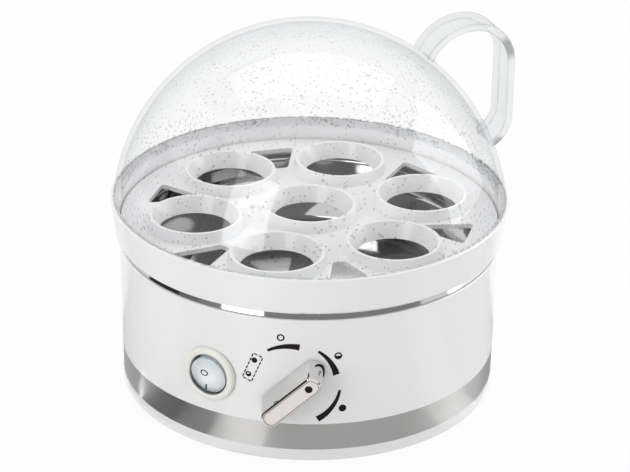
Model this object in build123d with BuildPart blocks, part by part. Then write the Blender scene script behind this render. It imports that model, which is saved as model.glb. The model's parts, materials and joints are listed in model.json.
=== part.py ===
from build123d import *
import os
from math import acos, asin, atan2, cos, degrees, radians, sin, sqrt, tan

# Seven-egg cooker: heated base with a steel bowl, a lift-out egg tray and a clear domed lid.
# Millimetres, +Z up. The origin is on the axis of the base, on the surface that it stands on.
# The control knob faces -Y, and angles round the base are counted from there towards +X.

# Base shell
base_radius = 79.0        # outer wall at its top edge
base_height = 64.3        # shoulder at the top of the outer wall
wall_lean = 0.5           # how much the wall draws in from its top edge down to the trim band
wall = 2.4                # moulded wall of the base
edge_round = 0.7          # rounding of the shell's top edge
neck_height = 2.5         # upstand above the shoulder, under the bowl's rim
flange = 2.4              # depth of the inward flange below the shoulder
cover_edge = 5.9          # seam between the bottom cover and the trim band
foot_height = 1.5         # gap under the bottom cover

# Trim band
band_height = 11.7
band_sheet = 0.5
band_fit = 0.05           # behind the band

# Bottom cover
cover_plate = 2.2
cover_round = 3.9         # rounding of the lower edge
cover_spigot = 4.0        # upstand inside the shell, above the seam
cover_fit = 0.3           # round the upstand
cover_lip = 1.8           # thickness of the upstand
vent_count = 10
vent_gap = 2.0            # between the vents and the feet
vent_length = 18.0
vent_width = 3.0

# Feet
foot_count = 4
foot_inset = 20.4         # centre of a foot in from the cover's edge
foot_start = 0.0          # angle of the first foot from +X
foot_radius = 7.0
foot_stem = 3.0
foot_stem_fit = 0.1

# Cover screws and the bosses that they go into
boss_count = 4
boss_inset = 8.5          # centre of a boss in from the wall's inner face
boss_start = 45.0         # angle of the first boss from +X
boss_radius = 3.8
boss_length = 30.0
boss_rib = 1.8
screw_radius = 1.5
screw_fit = 0.05
screw_head = 3.2
screw_head_height = 2.2
screw_seat = 2.6          # cover material under a screw head
screw_length = 14.0
head_fit = 0.4

# Heating bowl
bowl_sheet = 0.8
bowl_depth = 22.7         # upper face of the floor below the rim
bowl_side = 10.2          # upright side, below the rim
bowl_slope = 17.0         # how far the lower side slopes in to the floor
bowl_corner = 6.0
bowl_mouth_round = 2.2
rim_inset = 0.6           # outside of the turned-down rim, in from the wall's top edge
rim_width = 7.4           # from the outside of the rim in to the mouth
rim_draw = 1.3            # how much the turned-down rim widens from its top to its lower edge
rim_corner = 1.3
rim_gap = 0.2             # rim edge above the shoulder, and rim skirt round the neck
bowl_fit = 0.8            # shell opening round the bowl

# Bowl seal
seal_height = 1.1
seal_width = 2.2
seal_inset = 0.5          # inside the edge of the neck

# Heat plate and what it carries
plate_inset = 8.0         # edge of the plate in from the edge of the bowl's floor
plate_height = 4.0
stud_radius = 2.5
stud_length = 12.0
element_inset = 11.0      # middle of the tube in from the edge of the plate
element_tube = 3.3
element_open = 40.0       # degrees left open between the two legs
element_leg = 7.0
pin_radius = 1.1
pin_length = 9.0
bead_radius = 3.0
bead_height = 5.0
groove_fit = 0.05
sensor_radius = 8.0
sensor_height = 7.0
tab_width = 6.3
tab_sheet = 0.8
tab_length = 8.0
fuse_radius = 2.4
fuse_length = 17.0
fuse_lead = 0.6
fuse_lead_length = 4.0    # from the body to where the lead turns down
fuse_lead_drop = 9.0      # end of the lead below its axis

# Clamp strap under the heat plate
strap_width = 14.0
strap_sheet = 1.5
strap_drop = 6.2          # strap below the heat plate
strap_post_inset = 6.0    # centre of a post in from the wall's inner face
strap_post_length = 11.0
nut_flats = 8.0
nut_height = 4.0

# Control knob, shaft and board
control_drop = 29.5       # axis of the knob, and centre of the switch, below the shoulder
knob_angle = 43.0         # pointer above the horizontal, to the right
knob_reach = 14.1         # face of the knob out from the wall
knob_gap = 0.9            # back of the knob off the wall
knob_centres = 21.5       # between the centres of the rounded ends
knob_width = 9.9          # across the back
knob_draft = 5.0          # degrees
knob_edge = 0.6           # bevel round the face
knob_border = 0.5
knob_sink = 0.3           # depth of the face inside its border
shaft_radius = 3.0
shaft_flat = 1.6          # flat of the D end from the shaft's axis
shaft_grip = 8.0          # shaft inside the knob
shaft_fit = 0.05
bush_radius = 3.9
bush_fit = 0.3
seat_boss = 1.9           # height of the flat seat inside the wall
seat_radius = 10.0
control_size = 17.0
control_depth = 8.0
board_sheet = 1.6
board_fall = 20.0         # lower edge of the board below the knob's axis
board_clear = 4.0         # upper edge of the board below the bowl
board_left = 13.5
board_right = 32.0
post_radius = 2.6
post_inset = 4.0
board_screw = 1.2
board_screw_head = 2.3
board_screw_length = 5.0
relay_width = 19.0
relay_depth = 15.0
relay_height = 15.5
relay_rise = 3.0          # above the lower edge of the board
relay_gap = 1.0           # beside a board screw
buzzer_radius = 6.0
buzzer_depth = 8.0

# Rocker switch
switch_angle = -25.7
switch_sink = 1.0         # flat seat below the wall's crown
bezel_radius = 11.4
bezel_height = 3.0
bezel_fit = 0.25
switch_radius = 9.9
switch_fit = 0.2
switch_depth = 15.0
switch_cavity = 8.7
switch_floor = 3.0
rocker_radius = 7.9
rocker_side = 5.5         # straight side of the rocker
rocker_crown = 2.0
rocker_tilt = 8.0         # degrees each way
rocker_pivot = 1.6        # pivot below the seat
rocker_lift = 3.9         # rim of the rocker above the pivot, at its middle
trunnion_radius = 1.2
trunnion_fit = 0.05
lamp_radius = 1.8
lamp_length = 4.5
blade_width = 4.8
blade_sheet = 0.8
blade_length = 9.0
blade_pitch = 5.6

# Cord gland
gland_angle = 180.0
gland_height = 28.0
gland_bore = 3.5
gland_neck = 5.4
gland_flange = 8.0
gland_flange_height = 2.6
gland_sink = 0.6
gland_fit = 0.1
gland_tail = 4.0

# Terminal block on the bottom cover
block_width = 30.0
block_depth = 15.0
block_height = 13.0
block_inset = 30.0        # middle of the block in from the cover's upstand
block_ways = 3
block_hole = 2.1

# Egg tray: outer collar and egg plate
collar_lap = 1.2          # lower edge below the top of the bowl's rim
collar_height = 15.9
collar_overhang = 2.1     # lower edge out from the bowl's rim
collar_flare = 2.1        # how much wider the upper edge is than the lower one
collar_wall = 2.2
collar_round = 1.3
collar_top_round = 0.5
collar_fit = 0.35         # round the bowl's rim
ledge_depth = 2.0
ledge_width = 4.6
tray_sheet = 2.0
tray_rise = 1.3           # underside of the plate above the ledge
tray_fit = 0.4
tray_hem = 2.0
cup_count = 6
cup_gap = 7.86            # between the feet of neighbouring cups
cup_start = 258.6         # angle of the first cup from +X
cup_hole = 15.0           # radius at the plate's underside
cup_mouth = 18.0          # radius at the cup's rim
cup_lip = 1.2
cup_height = 4.5
cup_draft = 14.0          # degrees, outside of the cups
window_inset = 0.8        # outer end of a window in from the outermost edge of the cups
window_length = 20.5
window_narrow = 5.0
window_wide = 20.0
window_round = 1.6

# Lid: clear dome and loop handle
dome_height = 72.3        # top of the dome above the collar
dome_inset = 1.0          # foot of the dome in from the collar's upper edge
dome_wall = 2.0
spigot_depth = 2.8
spigot_wall = 1.7
spigot_fit = 0.35
handle_angle = 113.8
handle_width = 16.5
handle_sheet = 3.3
handle_edge = 1.1
handle_drop = 4.4         # middle of the band's highest point below the top of the dome
handle_gap = 3.2          # middle of the upright stretch out from the dome's radius
handle_corner = 17.2      # upper outer corner
handle_root_round = 21.5
handle_root_lap = 9.0     # degrees that the upper arc runs on into the dome
handle_foot_rise = 36.5   # lower end of the upright stretch above the dome's centre
handle_foot_round = 13.0
handle_foot_lap = 17.0    # degrees that the lower arc runs on into the dome
handle_flare = 4.5        # rounding where the inside of the loop runs into the dome
flare_lap = 0.1           # how deep the rounding starts inside the band
flare_inset = 0.55        # sides of the rounding in from the rounded edges of the band

# Inner leads
lead_radius = 1.0
lead_corner = 0.45        # share of a run that is taken up by the arc at its end
lead_low = 13.0           # height of the lead that crosses the floor of the base
lead_high = 23.0          # height where the leads turn away above the terminal block
lead_rise = 10.0          # straight stretch at a switch blade, a sensor, the strap or the relay
lead_sag = 6.0            # how far the long leads hang down in their middle
lead_aside = 11.0         # how far the lead to the switch swings out to the left
earth_place = 21.0        # end of the earth lead on the strap, from the axis

# Levels and radii that follow from the sizes above
band_top = cover_edge + band_height
boss_base = cover_edge + cover_spigot
control_height = base_height - control_drop
neck_top = base_height + neck_height
rim_top = neck_top + seal_height + bowl_sheet
rim_low = base_height + rim_gap + bowl_sheet * rim_draw / (rim_top - base_height)
rim_radius = base_radius - rim_inset
neck_radius = rim_radius - rim_draw - bowl_sheet - rim_gap
bowl_mouth = rim_radius - rim_width
bowl_floor = rim_top - bowl_depth
bowl_floor_radius = bowl_mouth - bowl_slope
shell_mouth = bowl_mouth + bowl_sheet + bowl_fit
plate_top = bowl_floor - bowl_sheet
plate_low = plate_top - plate_height
plate_radius = bowl_floor_radius - plate_inset
element_ring = plate_radius - element_inset
fuse_reach = fuse_length / 2 + fuse_lead_length
sensor_offset = (strap_width / 2 + element_ring - element_tube) / 2
strap_top = plate_low - strap_drop
collar_low = rim_top - collar_lap
collar_high = collar_low + collar_height
collar_low_radius = rim_radius + collar_overhang
collar_high_radius = collar_low_radius + collar_flare
ledge_top = rim_top + ledge_depth
tray_low = ledge_top + tray_rise
tray_top = tray_low + tray_sheet
cup_top = tray_top + cup_height


def wall_radius(height):
    """Outer radius of the base at a height."""
    return base_radius - wall_lean * (base_height - height) / (base_height - band_top)


def collar_radius(height):
    """Outer radius of the collar at a height."""
    share = (height - collar_low) / (collar_high - collar_low)
    return collar_low_radius + share * (collar_high_radius - collar_low_radius)


def bowl_underside(radius):
    """Height of the sloping underside of the bowl at a radius."""
    rise = bowl_depth - bowl_side
    sheet = bowl_sheet * sqrt(bowl_slope**2 + rise**2) / bowl_slope
    return bowl_floor - sheet + rise * (radius - bowl_floor_radius) / bowl_slope


def wall_plane(angle, distance, height):
    """Plane that faces out of the base at an angle from the front, at a distance from the axis."""
    turn = radians(angle)
    out = (sin(turn), -cos(turn), 0)
    right = (cos(turn), sin(turn), 0)
    return Plane(origin=(distance * out[0], distance * out[1], height), x_dir=right, z_dir=out)


def radial_plane(angle):
    """Upright plane through the axis: its x runs outwards and its y runs up."""
    turn = radians(angle)
    return Plane(origin=(0, 0, 0), x_dir=(sin(turn), -cos(turn), 0), z_dir=(-cos(turn), -sin(turn), 0))


def d_outline(radius, flat):
    """Circle with one flat, for the end of the control shaft and its hole."""
    Circle(radius)
    with Locations((0, flat + radius)):
        Rectangle(4 * radius, 2 * radius, mode=Mode.SUBTRACT)


def dome_turn(reach, rise, radius):
    """Degrees, from the line back to the dome's centre, at which an arc meets the dome's circle."""
    span = sqrt(reach**2 + rise**2)
    return degrees(acos((span**2 + radius**2 - dome_radius**2) / (2 * span * radius)))


def hang(start, end, drop, aside=0):
    """Middle of a lead's long run, lowered by a drop and moved to the left."""
    return (Vector(start) + Vector(end)) / 2 - Vector(aside, 0, drop)


def lead_arcs(points):
    """Radius at each corner of a lead: as large as its two straight runs have room for."""
    radii = []
    for before, corner, after in zip(points, points[1:], points[2:]):
        run_in = Vector(corner) - Vector(before)
        run_out = Vector(after) - Vector(corner)
        half_turn = radians(run_in.get_angle(run_out)) / 2
        radii.append(lead_corner * min(run_in.length, run_out.length) / tan(half_turn))
    return radii


def finish(builder, name):
    """Label a finished piece and write it."""
    builder.part.label = name
    export_step(builder.part, f"parts/{name}.step")


os.makedirs("parts", exist_ok=True)

# Base housing: a turned shell with a recess for the band, bosses, seats and openings
shell_inner_low = wall_radius(cover_edge) - wall
shell_inner_high = wall_radius(base_height - flange) - wall
control_wall = wall_radius(control_height)
control_seat = control_wall - wall - seat_boss
board_front = control_seat - control_depth
board_back = board_front - board_sheet
board_low = control_height - board_fall
board_top = bowl_underside(board_back) - board_clear
switch_seat = control_wall - switch_sink
gland_seat = wall_radius(gland_height) - gland_sink
post_heights = (board_low + post_inset, board_top - post_inset)
post_sides = (post_inset - board_left, board_right - post_inset)
boss_ring = shell_inner_low - boss_inset
strap_post_ring = shell_inner_low - strap_post_inset
boss_rib_length = boss_inset + wall / 2
post_rib_length = strap_post_inset + wall / 2

with BuildPart() as base_housing:
    with BuildSketch(Plane.XZ) as shell_section:
        with BuildLine():
            Polyline(
                (wall_radius(cover_edge) - band_sheet - band_fit, cover_edge),
                (wall_radius(band_top) - band_sheet - band_fit, band_top),
                (wall_radius(band_top), band_top),
                (base_radius, base_height),
                (neck_radius, base_height),
                (neck_radius, neck_top),
                (shell_mouth, neck_top),
                (shell_mouth, base_height - flange),
                (shell_inner_high, base_height - flange),
                (shell_inner_low, cover_edge),
                close=True,
            )
        make_face()
        fillet(shell_section.vertices().sort_by(Axis.X)[-1], radius=edge_round)
    revolve(axis=Axis.Z)
    with BuildSketch(Plane.XY.offset(boss_base)):
        with PolarLocations(boss_ring, boss_count, boss_start):
            Circle(boss_radius)
            Rectangle(boss_rib_length, boss_rib, align=(Align.MIN, Align.CENTER))
    extrude(amount=boss_length)
    with BuildSketch(Plane.XY.offset(strap_top)):
        with PolarLocations(strap_post_ring, 2):
            Circle(boss_radius)
            Rectangle(post_rib_length, boss_rib, align=(Align.MIN, Align.CENTER))
    extrude(amount=strap_post_length)
    with BuildSketch(wall_plane(0, control_seat, control_height)):
        Circle(seat_radius)
    extrude(amount=control_wall - wall / 2 - control_seat)
    for side in post_sides:
        post_end = sqrt((control_wall - wall / 2) ** 2 - side**2) - post_radius * abs(side) / control_wall
        with BuildSketch(wall_plane(0, board_front, 0)):
            with Locations(*[(side, height) for height in post_heights]):
                Circle(post_radius)
        extrude(amount=post_end - board_front)
    with BuildSketch(Plane.XY.offset(boss_base)):
        with PolarLocations(boss_ring, boss_count, boss_start):
            Circle(screw_radius + screw_fit)
    extrude(amount=screw_length, mode=Mode.SUBTRACT)
    with BuildSketch(Plane.XY.offset(strap_top)):
        with PolarLocations(strap_post_ring, 2):
            Circle(screw_radius + screw_fit)
    extrude(amount=strap_post_length - wall, mode=Mode.SUBTRACT)
    with BuildSketch(wall_plane(0, board_front, 0)):
        with Locations(*[(side, height) for side in post_sides for height in post_heights]):
            Circle(board_screw + screw_fit)
    extrude(amount=board_screw_length - board_sheet, mode=Mode.SUBTRACT)
    with BuildSketch(wall_plane(0, control_seat - wall, control_height)):
        Circle(bush_radius + bush_fit)
    extrude(amount=base_radius - control_seat + 2 * wall, mode=Mode.SUBTRACT)
    with BuildSketch(wall_plane(switch_angle, switch_seat, control_height)):
        Circle(bezel_radius + bezel_fit)
    extrude(amount=bezel_height, mode=Mode.SUBTRACT)
    with BuildSketch(wall_plane(switch_angle, switch_seat, control_height)):
        Circle(switch_radius + switch_fit)
    extrude(amount=-2 * wall, mode=Mode.SUBTRACT)
    with BuildSketch(wall_plane(gland_angle, gland_seat, gland_height)):
        Circle(gland_flange + bezel_fit)
    extrude(amount=gland_flange_height, mode=Mode.SUBTRACT)
    with BuildSketch(wall_plane(gland_angle, gland_seat, gland_height)):
        Circle(gland_neck + gland_fit)
    extrude(amount=-2 * wall, mode=Mode.SUBTRACT)
finish(base_housing, "base_housing")

# Trim band of brushed steel, let into the foot of the wall
with BuildPart() as trim_band:
    with BuildSketch(Plane.XZ):
        with BuildLine():
            Polyline(
                (wall_radius(cover_edge) - band_sheet, cover_edge),
                (wall_radius(cover_edge), cover_edge),
                (wall_radius(band_top), band_top),
                (wall_radius(band_top) - band_sheet, band_top),
                close=True,
            )
        make_face()
    revolve(axis=Axis.Z)
finish(trim_band, "trim_band")

# Bottom cover: shallow pan with an upstand inside the shell, screw pillars and vents
cover_top = foot_height + cover_plate
cover_outer = wall_radius(cover_edge)
spigot_ring = shell_inner_low - cover_fit
foot_ring = cover_outer - foot_inset
vent_ring = foot_ring - foot_radius - vent_gap - vent_length / 2
with BuildPart() as bottom_cover:
    with BuildSketch(Plane.XZ) as cover_section:
        with BuildLine():
            Polyline(
                (0, foot_height),
                (cover_outer, foot_height),
                (cover_outer, cover_edge),
                (spigot_ring, cover_edge),
                (spigot_ring, cover_edge + cover_spigot),
                (spigot_ring - cover_lip, cover_edge + cover_spigot),
                (spigot_ring - cover_lip, cover_top),
                (0, cover_top),
                close=True,
            )
        make_face()
        fillet(cover_section.vertices().group_by(Axis.Y)[0].sort_by(Axis.X)[-1], radius=cover_round)
    revolve(axis=Axis.Z)
    with BuildSketch(Plane.XY.offset(foot_height)):
        with PolarLocations(boss_ring, boss_count, boss_start):
            Circle(screw_head + head_fit + cover_lip)
    extrude(amount=boss_base - foot_height)
    with BuildSketch(Plane.XY.offset(foot_height)):
        with PolarLocations(boss_ring, boss_count, boss_start):
            Circle(screw_radius + bush_fit)
    extrude(amount=boss_base - foot_height, mode=Mode.SUBTRACT)
    with BuildSketch(Plane.XY.offset(foot_height)):
        with PolarLocations(boss_ring, boss_count, boss_start):
            Circle(screw_head + head_fit)
    extrude(amount=boss_base - screw_seat - foot_height, mode=Mode.SUBTRACT)
    with BuildSketch(Plane.XY.offset(foot_height)):
        with PolarLocations(foot_ring, foot_count, foot_start):
            Circle(foot_stem + foot_stem_fit)
        with PolarLocations(vent_ring, vent_count, 180 / vent_count):
            SlotOverall(vent_length, vent_width)
    extrude(amount=cover_plate, mode=Mode.SUBTRACT)
finish(bottom_cover, "bottom_cover")

# Rubber feet with stems that plug into the cover
with BuildPart() as feet:
    with BuildSketch(Plane.XY):
        with PolarLocations(foot_ring, foot_count, foot_start):
            Circle(foot_radius)
    extrude(amount=foot_height)
    with BuildSketch(Plane.XY.offset(foot_height)):
        with PolarLocations(foot_ring, foot_count, foot_start):
            Circle(foot_stem)
    extrude(amount=cover_plate)
finish(feet, "feet")

# Screws that hold the cover to the bosses
head_top = boss_base - screw_seat
with BuildPart() as cover_screws:
    with BuildSketch(Plane.XY.offset(head_top - screw_head_height)):
        with PolarLocations(boss_ring, boss_count, boss_start):
            Circle(screw_head)
    extrude(amount=screw_head_height)
    with BuildSketch(Plane.XY.offset(head_top)):
        with PolarLocations(boss_ring, boss_count, boss_start):
            Circle(screw_radius)
    extrude(amount=screw_length)
finish(cover_screws, "cover_screws")

# Heating bowl: one sheet pressing, its rim turned out and down over the neck of the shell
with BuildPart() as heating_bowl:
    with BuildSketch(Plane.XZ):
        with BuildLine():
            FilletPolyline(
                (0, bowl_floor),
                (bowl_floor_radius, bowl_floor),
                (bowl_mouth, rim_top - bowl_side),
                (bowl_mouth, rim_top),
                (rim_radius - rim_draw, rim_top),
                (rim_radius, rim_low),
                radius=[bowl_corner, bowl_corner, bowl_mouth_round, rim_corner],
            )
            offset(amount=bowl_sheet, side=Side.RIGHT)
        make_face()
    revolve(axis=Axis.Z)
finish(heating_bowl, "heating_bowl")

# Silicone seal between the neck of the shell and the bowl's rim
seal_outer = neck_radius - seal_inset
with BuildPart() as bowl_seal:
    with BuildSketch(Plane.XY.offset(neck_top)):
        Circle(seal_outer)
        Circle(seal_outer - seal_width, mode=Mode.SUBTRACT)
    extrude(amount=seal_height)
finish(bowl_seal, "bowl_seal")

# Heat plate with its clamp stud, and grooves for the element and the fuse
with BuildPart() as heat_plate:
    with BuildSketch(Plane.XY.offset(plate_low)):
        Circle(plate_radius)
    extrude(amount=plate_height)
    with BuildSketch(Plane.XY.offset(plate_low)):
        Circle(stud_radius)
    extrude(amount=-stud_length)
    with BuildSketch(Plane.XZ):
        with Locations((element_ring, plate_low)):
            Circle(element_tube + groove_fit)
    revolve(axis=Axis.Z, mode=Mode.SUBTRACT)
    with BuildSketch(Plane.YZ.offset(-fuse_reach - fuse_radius)):
        with Locations((-sensor_offset, plate_low)):
            Circle(fuse_radius + groove_fit)
    extrude(amount=2 * (fuse_reach + fuse_radius), mode=Mode.SUBTRACT)
finish(heat_plate, "heat_plate")

# Tubular element: a ring with two legs that turn down to its connection pins
bead_top = plate_low - element_tube - element_leg
element_half = radians(element_open / 2)
element_end = (element_ring * sin(element_half), -element_ring * cos(element_half))
element_ends = [element_end, (-element_end[0], element_end[1])]
with BuildPart() as heating_element:
    with BuildSketch(radial_plane(element_open / 2)):
        with Locations((element_ring, plate_low)):
            Circle(element_tube)
    revolve(axis=Axis.Z, revolution_arc=360 - element_open)
    with BuildSketch(Plane.XY.offset(plate_low)):
        with Locations(*element_ends):
            Circle(element_tube)
    extrude(amount=-element_tube - element_leg)
    with BuildSketch(Plane.XY.offset(bead_top)):
        with Locations(*element_ends):
            Circle(pin_radius)
    extrude(amount=-pin_length)
    with Locations(*[(x, y, plate_low) for x, y in element_ends]):
        Sphere(element_tube)
finish(heating_element, "heating_element")

# Ceramic beads on the connection pins
with BuildPart() as element_beads:
    with BuildSketch(Plane.XY.offset(bead_top)):
        with Locations(*element_ends):
            Circle(bead_radius)
            Circle(pin_radius + groove_fit, mode=Mode.SUBTRACT)
    extrude(amount=-bead_height)
finish(element_beads, "element_beads")

# Clamp strap: draws the heat plate and bowl down onto the shell
with BuildPart() as clamp_strap:
    with BuildSketch(Plane.XY.offset(strap_top)):
        SlotCenterToCenter(2 * strap_post_ring, strap_width / 2)
        Rectangle(2 * strap_post_ring - strap_width, strap_width)
        Circle(stud_radius + bush_fit, mode=Mode.SUBTRACT)
        with PolarLocations(strap_post_ring, 2):
            Circle(screw_radius + bush_fit, mode=Mode.SUBTRACT)
    extrude(amount=-strap_sheet)
finish(clamp_strap, "clamp_strap")

# Screws that hold the strap to its posts
strap_low = strap_top - strap_sheet
with BuildPart() as strap_screws:
    with BuildSketch(Plane.XY.offset(strap_low)):
        with PolarLocations(strap_post_ring, 2):
            Circle(screw_head)
    extrude(amount=-screw_head_height)
    with BuildSketch(Plane.XY.offset(strap_low)):
        with PolarLocations(strap_post_ring, 2):
            Circle(screw_radius)
    extrude(amount=strap_sheet + strap_post_length - 2 * wall)
finish(strap_screws, "strap_screws")

# Nut on the clamp stud
with BuildPart() as clamp_nut:
    with BuildSketch(Plane.XY.offset(strap_low)):
        RegularPolygon(radius=nut_flats / 2, side_count=6, major_radius=False)
        Circle(stud_radius + screw_fit, mode=Mode.SUBTRACT)
    extrude(amount=-nut_height)
finish(clamp_nut, "clamp_nut")

# Disc thermostat under the heat plate
with BuildPart() as thermostat:
    with BuildSketch(Plane.XY.offset(plate_low)):
        with Locations((0, sensor_offset)):
            Circle(sensor_radius)
    extrude(amount=-sensor_height)
    with BuildSketch(Plane.XY.offset(plate_low - sensor_height)):
        with Locations((0, sensor_offset)):
            with GridLocations(sensor_radius, 0, 2, 1):
                Rectangle(tab_sheet, tab_width)
    extrude(amount=-tab_length)
    fillet(thermostat.edges().filter_by(GeomType.CIRCLE).group_by(Axis.Z)[-1], radius=tab_sheet / 2)
finish(thermostat, "thermostat")

# Thermal fuse, half sunk in its groove, with leads that turn down
with BuildPart() as thermal_fuse:
    with BuildSketch(Plane.YZ.offset(-fuse_length / 2)):
        with Locations((-sensor_offset, plate_low)):
            Circle(fuse_radius)
    extrude(amount=fuse_length)
    with BuildSketch(Plane.YZ.offset(-fuse_reach)):
        with Locations((-sensor_offset, plate_low)):
            Circle(fuse_lead)
    extrude(amount=2 * fuse_reach)
    with BuildSketch(Plane.XY.offset(plate_low)):
        with Locations((-fuse_reach, -sensor_offset), (fuse_reach, -sensor_offset)):
            Circle(fuse_lead)
    extrude(amount=-fuse_lead_drop)
    with Locations((-fuse_reach, -sensor_offset, plate_low), (fuse_reach, -sensor_offset, plate_low)):
        Sphere(fuse_lead)
finish(thermal_fuse, "thermal_fuse")

# Rotary control: square case on the board, with a bush through the wall
bush_length = control_wall - control_seat - bush_fit
bore_depth = bush_length + control_depth - 2 * board_sheet
with BuildPart() as rotary_control:
    with BuildSketch(wall_plane(0, board_front, control_height)):
        RectangleRounded(control_size, control_size, post_radius)
    extrude(amount=control_depth)
    with BuildSketch(wall_plane(0, control_seat, control_height)):
        Circle(bush_radius)
    extrude(amount=bush_length)
    with BuildSketch(wall_plane(0, control_seat + bush_length, control_height)):
        Circle(shaft_radius + shaft_fit)
    extrude(amount=-bore_depth, mode=Mode.SUBTRACT)
finish(rotary_control, "rotary_control")

# Control shaft: round in the bush, with a D end in the knob
knob_back = control_wall + knob_gap
shaft_start = control_seat + bush_length - bore_depth + bush_fit
with BuildPart() as control_shaft:
    with BuildSketch(wall_plane(0, shaft_start, control_height)):
        Circle(shaft_radius)
    extrude(amount=knob_back - shaft_start)
    with BuildSketch(wall_plane(0, knob_back, control_height)):
        d_outline(shaft_radius, shaft_flat)
    extrude(amount=shaft_grip)
finish(control_shaft, "control_shaft")

# Knob: a tapered bar with round ends, its face bevelled and sunk inside a narrow border
knob_depth = knob_reach - knob_gap
knob_face_width = knob_width - 2 * knob_depth * tan(radians(knob_draft))
pointer = (cos(radians(knob_angle)), 0, sin(radians(knob_angle)))
back_plane = Plane(origin=(0, -knob_back, control_height), x_dir=pointer, z_dir=(0, -1, 0))
face_plane = back_plane.offset(knob_depth)
with BuildPart() as knob:
    with BuildSketch(back_plane):
        SlotCenterToCenter(knob_centres, knob_width)
    extrude(amount=knob_depth, taper=knob_draft)
    chamfer(knob.faces().sort_by(Axis.Y)[0].edges(), length=knob_edge)
    with BuildSketch(face_plane):
        SlotCenterToCenter(knob_centres, knob_face_width - 2 * (knob_border + knob_edge))
    extrude(amount=-knob_sink, mode=Mode.SUBTRACT)
    with BuildSketch(wall_plane(0, knob_back, control_height)):
        d_outline(shaft_radius + shaft_fit, shaft_flat + shaft_fit)
    extrude(amount=shaft_grip, mode=Mode.SUBTRACT)
finish(knob, "knob")

# Control board on four posts, with its screws, relay and buzzer
board_centre = ((board_right - board_left) / 2, (board_top + board_low) / 2)
with BuildPart() as control_board:
    with BuildSketch(wall_plane(0, board_back, 0)):
        with Locations(board_centre):
            RectangleRounded(board_right + board_left, board_top - board_low, post_radius / 2)
    extrude(amount=board_sheet)
    with BuildSketch(wall_plane(0, board_back, 0)):
        with Locations(*[(side, height) for side in post_sides for height in post_heights]):
            Circle(board_screw + screw_fit)
    extrude(amount=board_sheet, mode=Mode.SUBTRACT)
finish(control_board, "control_board")

with BuildPart() as board_screws:
    with BuildSketch(wall_plane(0, board_back, 0)):
        with Locations(*[(side, height) for side in post_sides for height in post_heights]):
            Circle(board_screw_head)
    extrude(amount=-board_screw)
    with BuildSketch(wall_plane(0, board_back, 0)):
        with Locations(*[(side, height) for side in post_sides for height in post_heights]):
            Circle(board_screw)
    extrude(amount=board_screw_length)
finish(board_screws, "board_screws")

relay_side = board_right - post_inset - board_screw_head - relay_gap - relay_width / 2
relay_middle = board_low + relay_rise + relay_height / 2
with BuildPart() as relay:
    with BuildSketch(wall_plane(0, board_back, 0)):
        with Locations((relay_side, relay_middle)):
            RectangleRounded(relay_width, relay_height, tab_sheet)
    extrude(amount=-relay_depth)
    fillet(relay.faces().sort_by(Axis.Y)[-1].edges(), radius=tab_sheet / 2)
finish(relay, "relay")

with BuildPart() as buzzer:
    with BuildSketch(wall_plane(0, board_back, control_height)):
        with Locations((buzzer_radius - board_left + tab_sheet, 0)):
            Circle(buzzer_radius)
    extrude(amount=-buzzer_depth)
    with BuildSketch(wall_plane(0, board_back - buzzer_depth, control_height)):
        with Locations((buzzer_radius - board_left + tab_sheet, 0)):
            Circle(buzzer_radius / 4)
    extrude(amount=board_sheet, mode=Mode.SUBTRACT)
finish(buzzer, "buzzer")

# Switch bezel: convex sealing ring on the flat seat of the wall
switch_plane = wall_plane(switch_angle, switch_seat, control_height)
switch_section = Plane(origin=switch_plane.origin, x_dir=switch_plane.x_dir, z_dir=-switch_plane.y_dir)
bezel_shoulder = switch_sink / 2
bezel_middle = (bezel_radius + switch_cavity) / 2
with BuildPart() as switch_bezel:
    with BuildSketch(switch_section):
        with BuildLine():
            Polyline(
                (switch_cavity, bezel_height - bezel_shoulder),
                (switch_cavity, 0),
                (bezel_radius, 0),
                (bezel_radius, bezel_shoulder),
            )
            ThreePointArc(
                (bezel_radius, bezel_shoulder),
                (bezel_middle, bezel_height),
                (switch_cavity, bezel_height - bezel_shoulder),
            )
        make_face()
    revolve(axis=Axis(switch_plane.origin, switch_plane.z_dir))
finish(switch_bezel, "switch_bezel")

# Switch body: cup through the wall, with sockets for the rocker's trunnions
with BuildPart() as switch_body:
    with BuildSketch(switch_plane):
        Circle(switch_radius)
    extrude(amount=-switch_depth)
    with BuildSketch(switch_plane):
        Circle(switch_cavity)
    extrude(amount=switch_floor - switch_depth, mode=Mode.SUBTRACT)
    with BuildSketch(Plane(origin=switch_plane.origin, z_dir=switch_plane.x_dir, x_dir=switch_plane.y_dir)):
        with Locations((0, -rocker_pivot)):
            Circle(trunnion_radius + trunnion_fit)
    extrude(amount=2 * switch_radius, both=True, mode=Mode.SUBTRACT)
finish(switch_body, "switch_body")

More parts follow.
